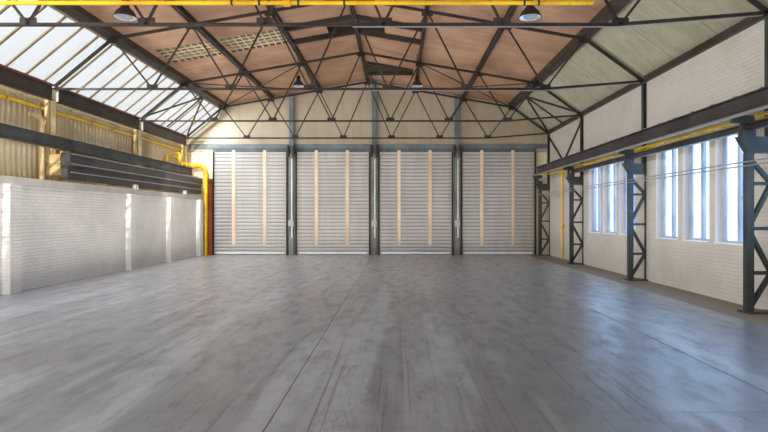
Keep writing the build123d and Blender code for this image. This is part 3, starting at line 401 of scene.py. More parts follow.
def buildFloor(spec):
    tree, inputs = newMaterial("floorConcrete", Specular_IOR_Level=0.75)
    broad = useGroup(tree, "patches", Scale=0.4, Low=0.35, High=0.65, Stretch=(1, 0.4, 1))
    tracks = useGroup(tree, "patches", Scale=1.7, Low=0.50, High=0.62, Stretch=(1, 0.08, 1))
    bands = useGroup(tree, "patches", Scale=5.0, Low=0.46, High=0.68, Stretch=(1, 0.35, 1))
    streaks = useGroup(tree, "patches", Scale=20.0, Low=0.60, High=0.64, Stretch=(1, 0.008, 1))
    stains = useGroup(tree, "patches", Scale=2.4, Low=0.54, High=0.70)
    cracks = useGroup(tree, "patches", Scale=2.4, Low=0.485, High=0.50, Stretch=(1, 0.25, 1))
    cuts = useGroup(tree, "joints", Axis=(1, 0, 0), Pitch=spec["cutPitch"], Width=0.014,
                    Start=spec["cutStart"])
    cross = useGroup(tree, "joints", Axis=(0, 1, 0), Pitch=spec["crossPitch"], Width=0.008)
    place = addNode(tree, "SeparateXYZ", {0: addNode(tree, "TexCoord").outputs["Object"]}).outputs
    worn = mixColour(tree, broad["Mask"], (98, 100, 102), (112, 117, 124))
    # painted sheen: the floor turns paler towards the far end (the "dust" share), standing in for the shine of
    # the far floor
    farSheenMask = rangeNode(tree, place[1], *spec["farSheenY"], 0.0, spec["dust"])
    base = mixColour(tree, farSheenMask, worn, (172, 168, 164))
    edge = times(tree, minus(tree, 1.0, cracks["Mask"]), cracks["Mask"])
    marked = layColours(tree, base, (tracks["Mask"], 0.42, (158, 164, 172)),
                        (bands["Mask"], 0.30, (84, 84, 86)), (streaks["Mask"], 0.5, (58, 55, 54)),
                        (stains["Mask"], 0.30, (74, 71, 70)), (edge, 1.6, (52, 48, 46)))
    strip = rangeNode(tree, place[0], *spec["stripX"])
    edged = mixColour(tree, strip, marked, (128, 116, 100))
    joint = mathNode(tree, "MAXIMUM", cuts["Joint"], times(tree, cross["Joint"], 0.5))
    tree.links.new(mixColour(tree, joint, edged, (48, 44, 42)), inputs["Base Color"])
    rough = rangeNode(tree, bands["Mask"], 0.0, 1.0, *spec["roughness"])
    grainy = mathNode(tree, "ADD", rough, times(tree, stains["Fine"], 0.14))
    tree.links.new(mathNode(tree, "ADD", grainy, times(tree, strip, 0.4)), inputs["Roughness"])
    height = minus(tree, times(tree, broad["Fine"], 0.15), joint)
    linkBump(tree, inputs, height, 0.004)


# Boards: narrow planks side by side along an axis, each with its own tone, and a running grain
def buildBoards(name, light, dark, axis, pitch, grain):
    tree, inputs = newMaterial(name, Roughness=0.7)
    planks = useGroup(tree, "joints", Axis=axis, Pitch=pitch, Width=0.006)
    grainMask = useGroup(tree, "patches", Scale=3.0, Low=0.35, High=0.7, Stretch=grain)
    broad = useGroup(tree, "patches", Scale=0.7, Low=0.4, High=0.7)
    base = mixColour(tree, broad["Mask"], light, dark)
    colour = layColours(tree, base, (planks["Tone"], 0.30, dark), (grainMask["Mask"], 0.35, dark),
                        (planks["Joint"], 0.7, (60, 44, 36)))
    tree.links.new(colour, inputs["Base Color"])
    height = minus(tree, times(tree, grainMask["Fine"], 0.2), planks["Joint"])
    linkBump(tree, inputs, height, 0.003)


# Sheet metal and coated panels: soft dirt runs down the face, joints at the panel pitch where asked
def buildSheet(name, paint, dirt, roughness, metallic=0.0, axis=(0, 1, 0), pitch=0.0, start=0.0, joint=0.006):
    tree, inputs = newMaterial(name, Metallic=metallic)
    runs = useGroup(tree, "patches", Scale=2.6, Low=0.45, High=0.75, Stretch=(1, 1, 0.12))
    broad = useGroup(tree, "patches", Scale=0.6, Low=0.4, High=0.7)
    colour = layColours(tree, paint, (broad["Mask"], 0.4, dirt), (runs["Mask"], 0.5, dirt))
    height = times(tree, runs["Fine"], 0.15)
    if pitch:
        seams = useGroup(tree, "joints", Axis=axis, Pitch=pitch, Width=joint, Start=start)
        colour = layColours(tree, colour, (seams["Joint"], 0.6, (70, 62, 52)))
        height = minus(tree, height, seams["Joint"])
    tree.links.new(colour, inputs["Base Color"])
    dull = rangeNode(tree, runs["Fine"], 0.3, 0.7, roughness - 0.06, roughness + 0.14)
    tree.links.new(dull, inputs["Roughness"])
    linkBump(tree, inputs, height, 0.002)


# Dusty glass: smears change its tint and dull its shine
def buildGlass(name, tint, dust, alpha, roughness):
    tree, inputs = newMaterial(name, Alpha=alpha, Transmission_Weight=0.6, IOR=1.45)
    smears = useGroup(tree, "patches", Scale=1.4, Low=0.4, High=0.75, Stretch=(0.5, 1, 0.5))
    tree.links.new(mixColour(tree, smears["Mask"], tint, dust), inputs["Base Color"])
    dull = rangeNode(tree, smears["Mask"], 0.0, 1.0, roughness, roughness + 0.3)
    tree.links.new(dull, inputs["Roughness"])


buildBrickPaint("brickWhite", (226, 224, 220), (178, 174, 168), 0.008)
buildBrickPaint("brickGrey", (198, 194, 186), (162, 154, 142), 0.004)
buildFloor(floorSet)
buildSheet("concreteBand", (196, 192, 186), (150, 144, 136), 0.8)
buildBoards("deckBoards", (188, 150, 122), (142, 108, 86), (0, 1, 0), 0.14, (0.25, 3, 1))
buildBoards("paleBoards", (236, 212, 184), (206, 176, 144), (1, 0, 0), 0.3, (4, 1, 0.2))
buildSheet("gablePanels", (182, 170, 148), (154, 140, 116), 0.55, axis=(1, 0, 0), pitch=1.0, start=0.35)
buildSheet("pierPaint", (232, 222, 190), (204, 188, 150), 0.6)
buildSheet("claddingSheet", (230, 216, 182), (182, 164, 126), 0.5)
buildSheet("slopeSheet", (156, 154, 134), (118, 114, 96), 0.6, pitch=1.77, start=1.5, joint=0.02)
buildSheet("shutterSteel", (202, 200, 196), (168, 164, 158), 0.34, metallic=0.35,
           axis=(0, 0, 1), pitch=0.157, start=floorTop, joint=0.028)
buildSheet("zinc", (186, 188, 190), (140, 142, 144), 0.38, metallic=0.7)
buildSheet("roofFelt", (92, 92, 94), (66, 64, 64), 0.9, pitch=1.0, joint=0.02)
buildSheet("greyPlastic", (170, 174, 176), (130, 132, 134), 0.45)
buildSheet("lampMetal", (56, 54, 54), (38, 36, 36), 0.4, metallic=0.3)
buildSheet("lampInside", (236, 238, 240), (206, 210, 216), 0.25, metallic=0.6)
# painted shade: dark boards for the shadow inside the ventilator and the hatch
buildBoards("darkTimber", (74, 62, 54), (50, 42, 38), (0, 1, 0), 0.2, (0.25, 3, 1))
buildSheet("plasterWhite", (238, 240, 244), (206, 206, 206), 0.7)
buildGlass("roofGlass", (232, 244, 252), (216, 214, 200), 0.22, 0.08)
buildGlass("windowGlass", (172, 204, 230), (190, 206, 222), 0.55, 0.05)
buildGlass("lightGlass", (110, 96, 90), (80, 68, 62), 0.85, 0.3)
print("materials done")

# Materials of the nodes
nodeMaterials = {
    "brickWhite": "left_wall lining_wall lining_piers",
    "brickGrey": "right_wall",
    "floorConcrete": "floor_slab",
    "concreteBand": "wall_band",
    "deckBoards": "left_roof_boards right_roof_boards",
    "paleBoards": "shutter_boards",
    "gablePanels": "gable_walls",
    "pierPaint": "gable_piers",
    "roofFelt": "left_roof_covering right_roof_covering",
    "greyPlastic": "control_boxes",
    "zinc": "roof_light_frame roof_hatch ridge_vent shutter_hoods girder_pipe_run conduits",
    "roofGlass": "glazing_panes",
    "windowGlass": "window_panes",
    "lightGlass": "roof_light_pane",
    "lampMetal": "lamps",
    "girderGrey": "left_crane_girder",
    "steelDark": "left_eaves_girder roof_trusses roof_purlins vent_trimmers knee_purlins"
                 " right_eaves_purlins bracing shutter_guides shutter_drives",
    "steelHousing": "wall_housing right_crane_girder right_lower_beam",
    "steelSlate": "door_lintels",
    "steelGreen": "right_columns right_brackets right_upper_columns",
    "steelCream": "cladding_rails left_posts left_brackets",
    "glazingPaint": "glazing_bars",
    "steelBlueGrey": "gable_columns lintel_flashing",
    "frameBlue": "window_frames",
    "yellowPaint": "gas_pipes gas_pipe_drops",
    "redPaint": "red_pipe_stand",
}
for material, names in nodeMaterials.items():
    for name in names.split():
        nodes[name].data.materials.clear()
        nodes[name].data.materials.append(bpy.data.materials[material])

# Centre lines of the frame as the solids have them
frameSet = {"ridge": 7.64, "knee": (6.25, 6.55), "tie": 5.22, "tieBend": 5.15, "tieEnd": -7.9, "eaves": 7.8,
            "heels": {-1: 5.27, 1: 5.43}, "steps": 3, "deckUnder": 7.8375}
roofFall = (frameSet["ridge"] - frameSet["knee"][1]) / frameSet["knee"][0]
nodeStep = frameSet["knee"][0] / frameSet["steps"]


# Underside of the low roof's deck at x
def deckAt(x):
    return frameSet["deckUnder"] - roofFall * np.abs(x)


# Fall of the steep slope on one side
def slopeFall(side):
    return (frameSet["knee"][1] - frameSet["heels"][side]) / (frameSet["eaves"] - frameSet["knee"][0])


# Corrugated sheets of the right slope: z rises by half the wave height times cos(2 pi y / pitch)
slopeWave = {"pitch": 0.177, "height": 0.045, "thickness": 0.004, "perWave": 8, "rows": 4, "eavesGap": 0.04,
             "drop": 0.034}


def makeSlopeSheets(spec):
    low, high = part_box("slope_sheets")
    count = int(round((high.y - low.y) / spec["pitch"] * spec["perWave"]))
    y = np.linspace(low.y, high.y, count + 1)[:, None]
    share = np.linspace(0, 1, spec["rows"])[None, :]
    x = low.x + share * (high.x - low.x - spec["eavesGap"])
    middle = high.z - (x - low.x) * slopeFall(1) - spec["drop"]
    z = middle + spec["height"] / 2 * np.cos(2 * pi * y / spec["pitch"])
    points = np.stack(np.broadcast_arrays(x, y, z), -1)
    addSheet("slope_waves", gridPatch(points.transpose(1, 0, 2)), "slopeSheet", ["slope_sheets"],
             spec["thickness"])


makeSlopeSheets(slopeWave)

# Upright ribs of the left wall: x stands out by a trapezoid wave of y, clipped from a cosine
claddingRibs = {"pitch": 0.2, "depth": 0.042, "thickness": 0.003, "perWave": 12, "steepness": 1.9,
                "shift": 0.012, "topGap": 0.07}


def makeCladding(spec):
    low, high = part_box("left_cladding")
    count = int(round((high.y - low.y) / spec["pitch"] * spec["perWave"]))
    y = np.linspace(low.y, high.y, count + 1)[:, None]
    wave = np.clip(spec["steepness"] * np.cos(2 * pi * y / spec["pitch"]), -1, 1)
    z = np.array([low.z, high.z - spec["topGap"]])[None, :]
    x = (low.x + high.x) / 2 + spec["shift"] - spec["depth"] / 2 * wave
    points = np.stack(np.broadcast_arrays(x, y, z), -1)
    addSheet("cladding_ribs", gridPatch(points), "claddingSheet", ["left_cladding"],
             spec["thickness"])


makeCladding(claddingRibs)

# Slats of the shutters: each bulges towards the hall by depth * sqrt(sin(pi t)) over its height.
# Each row of curtains is given by its bottom, its top, the y of its face and the way in.
slats = {"pitch": 0.157, "depth": 0.02, "perSlat": 10, "width": 3.15, "inset": 0.02, "back": 0.036,
         "curtains": ((floorTop, 4.65, 14.70, -1), (4.51, 4.65, -14.70, 1))}


def makeCurtains(spec):
    patches = []
    for bottom, top, faceY, sign in spec["curtains"]:
        steps = int(round((top - bottom) / spec["pitch"]) * spec["perSlat"])
        t = np.linspace(0, 1, max(steps, 10) + 1)
        z = bottom + t * (top - bottom)
        share = ((z - bottom) / spec["pitch"]) % 1.0
        bulge = spec["depth"] * np.sqrt(np.clip(np.sin(pi * share), 0, 1))
        front = np.stack([faceY - sign * (spec["inset"] - bulge), z], -1)
        back = np.stack([np.full(2, faceY - sign * spec["back"]), np.array([top, bottom])], -1)
        loop = np.concatenate([front, back])[::-sign]
        for middle in doorMiddles:
            ends = [np.column_stack([np.full(len(loop), middle + s * spec["width"] / 2), loop])
                    for s in (-1, 1)]
            points, faces = gridPatch(np.stack(ends), closedColumns=True)
            j = np.arange(len(loop))
            patches.append((points, [faces[0][:, ::-1], np.stack([j, j[::-1] + len(loop)])]))
    addPiece("shutter_slats", joinPatches(patches), "shutterSteel", ["shutter_curtains"])


makeCurtains(slats)
print("sheets and shutters done")

# Grid of glazing bars in the roof light
lightGrid = {"x": (-5.95, -2.22), "y": (6.88, 8.30), "across": 18, "along": 5, "bar": 0.03, "depth": 0.05,
             "lift": 0.03}


def makeLightGrid(spec):
    (left, right), (near, far) = spec["x"], spec["y"]
    x = np.linspace(left, right, spec["across"] + 1)[1:-1]
    y = np.linspace(near, far, spec["along"] + 1)[1:-1]
    half, low = spec["bar"] / 2, -spec["depth"] / 2
    bars = [[-half, low], [half, low], [half, 0], [-half, 0]]
    z = deckAt(x) + spec["lift"]
    across = barPatch(bars, *[np.column_stack([x, np.full(len(x), end), z]) for end in (near, far)])
    along = barPatch(bars, *[np.column_stack([np.full(len(y), end), y,
                                              np.full(len(y), deckAt(end) + spec["lift"])])
                             for end in (left, right)])
    addPiece("roof_light_bars", joinPatches([across, along]), "steelCream")


makeLightGrid(lightGrid)
print("roof light done")

# Roof trusses: each member is a pair of angles with a gap between them for the plates.
# A pair's outline: two six-cornered angles, the flat legs outwards, on top or at the bottom.
trussSet = {"gap": 0.014, "leg": 0.007, "chord": (0.080, 0.075), "tie": (0.080, 0.055), "web": (0.050, 0.042),
            "plate": (0.30, 0.12, 0.012)}


def anglePair(width, depth, flat):
    inner, outer, half = trussSet["gap"] / 2, width / 2, depth / 2
    leg = trussSet["leg"]
    corners = [(inner, -half), (inner + leg, -half), (inner + leg, half - leg), (outer, half - leg),
               (outer, half), (inner, half)]
    right = np.array(corners) * (1, flat)
    if flat < 0:
        right = right[::-1]
    return right, right[::-1] * (-1, 1)


# Members between points (x, z) of the cross section, at each line of the hall
def crossMembers(profiles, starts, ends):
    patches = []
    for y in lines:
        places = [[(x, y, z) for x, z in points] for points in (starts, ends)]
        patches += [barPatch(profile, *places) for profile in profiles]
    return patches


def makeTrusses(spec):
    knee, tie, eaves, heels = (frameSet[key] for key in ("knee", "tie", "eaves", "heels"))
    length, height, thickness = spec["plate"]
    top = [(i * nodeStep, frameSet["ridge"] - roofFall * i * nodeStep) for i in range(frameSet["steps"] + 1)]
    low = [((i + 0.5) * nodeStep, tie) for i in range(frameSet["steps"])]
    chords, webs, plates = [], [], []
    for side in (-1, 1):
        turned = lambda p: (side * p[0], p[1])
        chords += [(turned(top[0]), turned(top[-1])), (turned(knee), (side * eaves, heels[side]))]
        for i, foot in enumerate(low):
            webs += [(turned(top[i]), turned(foot)), (turned(foot), turned(top[i + 1]))]
            plates += [(side * foot[0], tie + height / 2)]
        plates += [(side * x, z - height / 2) for x, z in top[1:]]
    plates.append((0.0, frameSet["ridge"] - height / 2))
    bend = (frameSet["tieBend"], tie)
    ties = [((frameSet["tieEnd"], tie), bend), (bend, (eaves, heels[1]))]
    patches = []
    for kind, flat, members in (("chord", 1, chords), ("tie", -1, ties), ("web", 1, webs)):
        patches += crossMembers(anglePair(*spec[kind], flat), *zip(*members))
    size = np.array([length, thickness, height]) / 2
    middles = np.array([(x, y, z) for y in lines for x, z in plates])
    patches.append(boxPatch(middles - size, middles + size))
    addPiece("truss_angles", joinPatches(patches), "steelDark", ["roof_trusses"])


makeTrusses(trussSet)

# Purlins of the low roof: two channels back to back, their tops on the fall of the deck
purlinSet = {"gap": 0.022, "width": 0.11, "web": 0.008, "flange": 0.012, "depth": 0.16}


def makePurlins(spec):
    low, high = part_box("roof_purlins")
    inner, outer = spec["gap"] / 2, spec["width"] / 2
    web, flange, depth = spec["web"], spec["flange"], spec["depth"]
    corners = [(inner, 0), (outer, 0), (outer, flange), (inner + web, flange), (inner + web, depth - flange),
               (outer, depth - flange), (outer, depth), (inner, depth)]
    patches = []
    for i in range(1 - frameSet["steps"], frameSet["steps"]):
        for profile in (np.array(corners, float), np.array(corners[::-1], float) * (-1, 1)):
            x = i * nodeStep + profile[:, 0]
            placed = np.column_stack([x, deckAt(x) - depth + profile[:, 1]])
            patches.append(barPatch(placed, (0, high.y, 0), (0, low.y, 0)))
    addPiece("purlin_channels", joinPatches(patches), "steelDark", ["roof_purlins"])


makePurlins(purlinSet)

# Glazing bars of the left slope: pairs of thin ribs down the slope, a cap over each pair, a rail at both ends.
# The seat is the height of the ribs' feet above the knee line, square to the slope.
ribSet = {"pitch": 5.0 / 7, "apart": 0.05, "rib": 0.010, "cap": (0.046, 0.008), "depth": 0.03,
          "rail": (0.09, 0.05), "seat": 0.0725, "endGaps": (0.01, 0.03), "railInset": 0.05, "sideGap": 0.01}


def makeGlazingRibs(spec):
    low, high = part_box("glazing_bars")
    fall = slopeFall(-1)
    rise = hypot(1, fall)
    under = frameSet["knee"][1] + spec["seat"] * rise

    def slopePoint(x, y, lift):
        return -x, y, under + lift * rise - fall * (x - frameSet["knee"][0])

    count = int(2 * high.y / spec["pitch"])
    rows = [(i + 0.5 - count / 2) * spec["pitch"] for i in range(count)]
    topGap, footGap = spec["endGaps"]
    ends = (-high.x + topGap, -low.x - footGap)
    square = np.array([(-1, -1), (1, -1), (1, 1), (-1, 1)]) / 2
    depth, cap, rail, half = spec["depth"], spec["cap"], spec["rail"], spec["apart"] / 2
    patches = []
    for shape, offsets, lift in ((square * (spec["rib"], depth), (-half, half), depth / 2),
                                 (square * cap, (0.0,), depth + cap[1] / 2)):
        places = [[slopePoint(x, y + offset, lift) for y in rows for offset in offsets] for x in ends]
        patches.append(barPatch(shape, *places))
    sides = (low.y + spec["sideGap"], high.y - spec["sideGap"])
    for x in (ends[0] + spec["railInset"], ends[1] - spec["railInset"]):
        patches.append(barPatch(square * rail, *[slopePoint(x, y, rail[1] / 2) for y in sides], (-fall, 0, 1)))
    addPiece("glazing_ribs", joinPatches(patches), "glazingPaint", ["glazing_bars"])


makeGlazingRibs(ribSet)
print("frame done")

# Lamps: a dark bell, a bright bowl inside it and a round lens. Each is a profile turned about the lamp's rod.
lampSet = {
    "wide": [(-3.66, 0.33), (3.70, 0.33)], "wideRim": 5.45,
    "narrow": [(-2.16, -9.67), (1.98, -9.67), (-2.16, 9.67), (1.98, 9.67)], "narrowRim": 6.37,
    "bell": [(0.0, 0.355), (0.068, 0.355), (0.072, 0.20), (0.10, 0.17), (0.16, 0.11), (0.205, 0.015),
             (0.214, 0.0), (0.207, 0.0), (0.197, 0.015), (0.150, 0.105), (0.08, 0.16), (0.0, 0.162)],
    "bowl": [(0.0, 0.158), (0.078, 0.155), (0.147, 0.102), (0.193, 0.018), (0.198, 0.004), (0.187, 0.006),
             (0.140, 0.095), (0.075, 0.146), (0.0, 0.148)],
    "lens": [(0.0, 0.06), (0.09, 0.055), (0.12, 0.03), (0.11, 0.012), (0.06, 0.0), (0.0, -0.004)],
    "rod": 0.01, "rodFoot": 0.35, "segments": 32,
}


def makeLamps(spec):
    places = [(x, y, spec[kind + "Rim"]) for kind in ("wide", "narrow") for x, y in spec[kind]]
    for name, key, material, slot, nodeNames in (
            ("lamp_bells", "bell", "lampMetal", "lamp_metal", ["lamps"]),
            ("lamp_bowls", "bowl", "lampInside", "lamp_metal", []),
            ("lamp_lenses", "lens", "windowGlass", "glass", [])):
        profile = np.array(spec[key])[::-1]
        patches = [lathePatch(profile, place, spec["segments"]) for place in places]
        if key == "bell":
            rod = spec["rod"]
            patches.append(boxPatch([(x - rod, y - rod, z + spec["rodFoot"]) for x, y, z in places],
                                    [(x + rod, y + rod, deckAt(x)) for x, y, z in places]))
        addPiece(name, joinPatches(patches), material, nodeNames, smooth=True)


makeLamps(lampSet)

# Dark linings inside the ventilator and the hatch, given as x, y and height above their lower edge:
# thin boards against the walls and over the opening. They are painted shade: their dark colour stands in for
# the shadow inside the openings
liningSet = {"board": 0.012, "above": 0.08, "vent": ((-0.9, 0.9), (6.85, 8.0), 0.30),
             "hatch": ((0.13, 1.92), (11.7, 12.65), 0.05)}


def makeLinings(spec):
    board, above = spec["board"], spec["above"]
    lows, highs = [], []
    for key in ("vent", "hatch"):
        (left, right), (near, far), rise = spec[key]
        edge = deckAt(max(abs(left), abs(right)))
        crest = deckAt(0 if left * right < 0 else min(abs(left), abs(right)))
        top = edge + above + rise
        lows += [(left, near, edge), (right - board, near, edge), (left, near, edge), (left, far - board, edge)]
        highs += [(left + board, far, top), (right, far, top), (right, near + board, top), (right, far, top)]
        lid = min(top, crest + above)
        lows.append((left, near, lid))
        highs.append((right, far, lid + board))
    addPiece("opening_shade_boards", boxPatch(lows, highs), "darkTimber")


makeLinings(liningSet)

# White plaster in the window openings: thin slabs on both sides, the sill and the head, up to the frames. They
# are whiter and bluer than the wall's paint: partly painted light, for the window light falling on them
revealSet = {"middles": (-7.5, -2.5, 2.5, 7.5), "spacing": 1.32, "half": 0.55, "bottom": 1.29, "top": 3.70,
             "faces": (7.862, 8.01), "board": 0.008, "sillNose": 0.03, "sill": 0.02}
windowMiddles = [m + i * revealSet["spacing"] for m in revealSet["middles"] for i in (-1, 0, 1)]


def makeReveals(spec):
    near, far = spec["faces"]
    board, bottom, top = spec["board"], spec["bottom"], spec["top"]
    lows, highs = [], []
    for middle in windowMiddles:
        left, right = middle - spec["half"], middle + spec["half"]
        lows += [(near, left, bottom), (near, right - board, bottom), (near - spec["sillNose"], left, bottom),
                 (near, left, top - board)]
        highs += [(far, left + board, top), (far, right, top), (far, right, bottom + spec["sill"]),
                  (far, right, top)]
    addPiece("window_reveals", boxPatch(lows, highs), "plasterWhite")


makeReveals(revealSet)

# Upright bands before the glass of each window: at the far side, in the middle and at the near side,
# given as shares of the opening from its near side, with the width of each in metres
bandSet = {"places": ((0.06, 0.11), (0.46, 0.09), (0.90, 0.13)), "faces": (7.985, 8.008), "topGap": 0.01}


def makeWindowBands(spec):
    near, far = spec["faces"]
    bottom, top = revealSet["bottom"] + revealSet["sill"], revealSet["top"] - spec["topGap"]
    bands = [(middle + (2 * share - 1) * revealSet["half"], width / 2)
             for middle in windowMiddles for share, width in spec["places"]]
    addPiece("window_bands", boxPatch([(near, y - half, bottom) for y, half in bands],
                                      [(far, y + half, top) for y, half in bands]),
             "frameBlue")


makeWindowBands(bandSet)
print("lamps, linings and reveals done")

circle = np.array([(cos(a), sin(a)) for a in np.linspace(0, 2 * pi, 16, endpoint=False)])


# Round fittings on straight pipes: short sleeves of a circle's outline along a line
def sleeves(radius, places, along, length):
    places, along = asRows(places), np.asarray(along, float)
    upHint = (0, 1, 0) if along[2] else (0, 0, 1)
    return barPatch(circle * radius, places - along * length / 2, places + along * length / 2, upHint)


# Pipe through points with rounded corners: each ring is centre + r (cos a) side + r (sin a) up along the path.
# The side direction is carried from ring to ring, so that it stays square to the path at every bend.
def tubePatch(points, radius, bend=0.0, segments=10):
    points = np.asarray(points, float)
    path = [points[0]]
    for before, corner, after in zip(points, points[1:], points[2:]):
        start, end = corner + bend * unitOf(before - corner), corner + bend * unitOf(after - corner)
        t = np.linspace(0, 1, 6)[:, None]
        path += list((1 - t) ** 2 * start + 2 * t * (1 - t) * corner + t ** 2 * end)
    path = np.array(path + [points[-1]])
    run = unitOf(np.gradient(path, axis=0))
    side = np.empty_like(run)
    carried = np.eye(3)[np.argmin(np.abs(run[0]))]
    for i, direction in enumerate(run):
        carried = side[i] = unitOf(carried - direction * (carried @ direction))
    up = np.cross(run, side)
    angle = np.linspace(0, 2 * pi, segments, endpoint=False)[None, :, None]
    rings = path[:, None] + radius * (np.cos(angle) * side[:, None] + np.sin(angle) * up[:, None])
    grid, faces = gridPatch(rings, closedColumns=True)
    return grid, [faces[0][:, ::-1], endCaps(len(path), segments)]


# Clamps, unions, valves and brackets along the pipes
fittingSet = {
    "crossPipe": {"y": -0.0775, "z": 5.57, "radius": 0.0375, "clamps": (-1.6, -1.12, -0.44, 0.36, 3.5, 3.75),
                  "valve": -0.64, "hanger": ((-0.012, -0.01, 0.03), (0.012, 0.05, 0.12))},
    "wallPipe": {"x": -8.0575, "z": 4.685, "radius": 0.0425, "spacing": 1.25, "ends": (-14.0, 14.1)},
    "cornerPipe": {"x": -7.06, "y": 14.57, "radius": 0.085, "rings": (0.35, 1.4, 2.45, 3.5)},
    "redPipe": {"x": -6.85, "y": 14.51, "radius": 0.095, "rings": (0.3, 1.85, 3.30)},
    "dropPipe": {"x": 7.79, "y": 12.25, "radius": 0.03, "rings": (0.5, 1.25, 1.35, 2.2, 3.0)},
    # how much wider than its pipe each kind is, and its length
    "clamp": (0.007, 0.035), "body": (0.03, 0.11), "union": (0.008, 0.09), "strap": (0.004, 0.03),
    "ring": (0.016, 0.05),
    # radius, height above the pipe and length of a valve's stem; radius, length and height of the tap;
    # radius, start and end of its spout
    "stem": (0.014, 0.09, 0.12), "tap": (0.055, 0.12, 1.3), "spout": (0.02, 0.02, 0.16),
    # small pipes above the housing in the left corner: points, radius, bend
    "tubes": (([(-7.95, 14.2, 4.32), (-7.95, 12.6, 4.32), (-7.95, 12.6, 3.85)], 0.04, 0.12),
              ([(-7.7, 14.5, 4.03), (-7.7, 13.3, 4.03), (-7.7, 13.3, 4.45), (-7.95, 13.3, 4.45)], 0.05, 0.1)),
    # round fittings on them: radius, places, direction, length
    "rounds": ((0.10, [(-7.7, 13.9, 4.03), (-7.7, 13.45, 4.03)], (0, 1, 0), 0.05),
               (0.075, [(-7.95, 12.6, 4.1), (-7.7, 13.3, 4.25)], (0, 0, 1), 0.10),
               (0.11, [(-7.45, 14.57, 4.03), (-7.25, 14.57, 4.03)], (1, 0, 0), 0.05)),
    "gauge": {"radii": (0.10, 0.12), "half": 0.02, "place": (-7.35, 14.1, 4.28)},
}


def makeFittings(spec):
    def around(kind, pipe, places, along):
        wider, length = spec[kind]
        return sleeves(pipe["radius"] + wider, places, along, length)

    pipe = spec["crossPipe"]
    places = np.array([(x, pipe["y"], pipe["z"]) for x in pipe["clamps"]])
    low, high = pipe["hanger"]
    dark = [around("clamp", pipe, places, (1, 0, 0)), boxPatch(places + low, places + high)]
    radius, above, length = spec["stem"]
    yellow = [around("body", pipe, (pipe["valve"], pipe["y"], pipe["z"]), (1, 0, 0)),
              sleeves(radius, (pipe["valve"], pipe["y"], pipe["z"] + above), (0, 0, 1), length)]
    pipe, red = spec["wallPipe"], []
    walls = [(pipe["x"], y, pipe["z"]) for y in np.arange(*pipe["ends"], pipe["spacing"])]
    yellow.append(around("union", pipe, walls[::4], (0, 1, 0)))
    dark.append(around("strap", pipe, walls, (0, 1, 0)))
    for name, group in (("cornerPipe", yellow), ("redPipe", red), ("dropPipe", yellow)):
        pipe = spec[name]
        rings = [(pipe["x"], pipe["y"], floorTop + z) for z in pipe["rings"]]
        group.append(around("ring", pipe, rings, (0, 0, 1)))
    x, y = pipe["x"], pipe["y"]
    radius, length, height = spec["tap"]
    yellow.append(sleeves(radius, (x, y, floorTop + height), (0, 1, 0), length))
    radius, start, end = spec["spout"]
    yellow.append(tubePatch([(x, y - start, floorTop + height), (x, y - end, floorTop + height)], radius))
    yellow += [tubePatch(*tube) for tube in spec["tubes"]]
    yellow += [sleeves(*fitting) for fitting in spec["rounds"]]
    addPiece("yellow_fittings", joinPatches(yellow), "yellowPaint")
    addPiece("pipe_clamps", joinPatches(dark), "steelDark")
    addPiece("red_pipe_rings", joinPatches(red), "redPaint")
    (inner, outer), half = spec["gauge"]["radii"], spec["gauge"]["half"]
    points, faces = lathePatch([(inner, -half), (outer, -half), (outer, half), (inner, half)], segments=24)
    turned = points[:, [0, 2, 1]] * (1, -1, 1) + spec["gauge"]["place"]
    addPiece("corner_gauge", (turned, faces[:1]), "plasterWhite")


makeFittings(fittingSet)
print("pipe fittings done")

# On the left: the downpipe beside the brackets, pale edges on the long housing, white feet below it, dark edges
# on the crane girder and a red sill under the eaves girder. Rail clips on both crane girders.
leftSet = {"downpipe": [(-7.93, 4.20, 4.42), (-7.93, 4.66, 4.42), (-7.93, 4.66, 2.75)], "pipeRadius": 0.06,
           "pipeBend": 0.18, "housing": (-7.13, 4.6, 14.35), "edges": (3.455, 3.20, 2.98), "edge": 0.012,
           "edgeDepth": (-0.01, 0.012), "clipEnds": (-13.6, 13.7), "clipPitch": 0.714,
           "clip": (0.05, 0.06, 0.035), "rails": ((-7.40, 3.89), (7.20, 3.93)),
           "feet": (8.15, 8.32, 12.35, 12.52), "foot": (-7.18, 2.80), "footLow": (0.03, 0.03, 0.08),
           "footHigh": (0.05, 0.03, 0.06), "flanges": (-7.37, 0.02, 13.95), "flangeHeights": (3.57, 3.85),
           "sill": (-7.725, 0.02, 14.7), "sillHeight": 5.25, "strip": 0.03}


def makeLeftParts(spec):
    addPiece("downpipe", tubePatch(spec["downpipe"], spec["pipeRadius"], spec["pipeBend"], 14),
             "steelCream", smooth=True)
    face, near, far = spec["housing"]
    edge, (back, front) = spec["edge"], spec["edgeDepth"]
    lows = [(face + back, near, z - edge) for z in spec["edges"]]
    highs = [(face + front, far, z + edge) for z in spec["edges"]]
    addPiece("housing_edges", boxPatch(lows, highs), "zinc")
    size = np.array(spec["clip"]) / 2
    rows = np.arange(*spec["clipEnds"], spec["clipPitch"])
    middles = np.array([(x, y, z) for x, z in spec["rails"] for y in rows])
    addPiece("rail_clips", boxPatch(middles - size, middles + size), "zinc")
    x, z = spec["foot"]
    feet = np.array([(x, y, z) for y in spec["feet"]])
    addPiece("housing_feet", boxPatch(feet - spec["footLow"], feet + spec["footHigh"]), "plasterWhite")
    for name, key, heights, material, slot in (
            ("flange_edges", "flanges", spec["flangeHeights"], "steelDark", "steel_dark"),
            ("eaves_sill", "sill", (spec["sillHeight"],), "redPaint", "red_paint")):
        x, depth, reach = spec[key]
        lows = [(x, -reach, z) for z in heights]
        highs = [(x + depth, reach, z + spec["strip"]) for z in heights]
        addPiece(name, boxPatch(lows, highs), material)


makeLeftParts(leftSet)

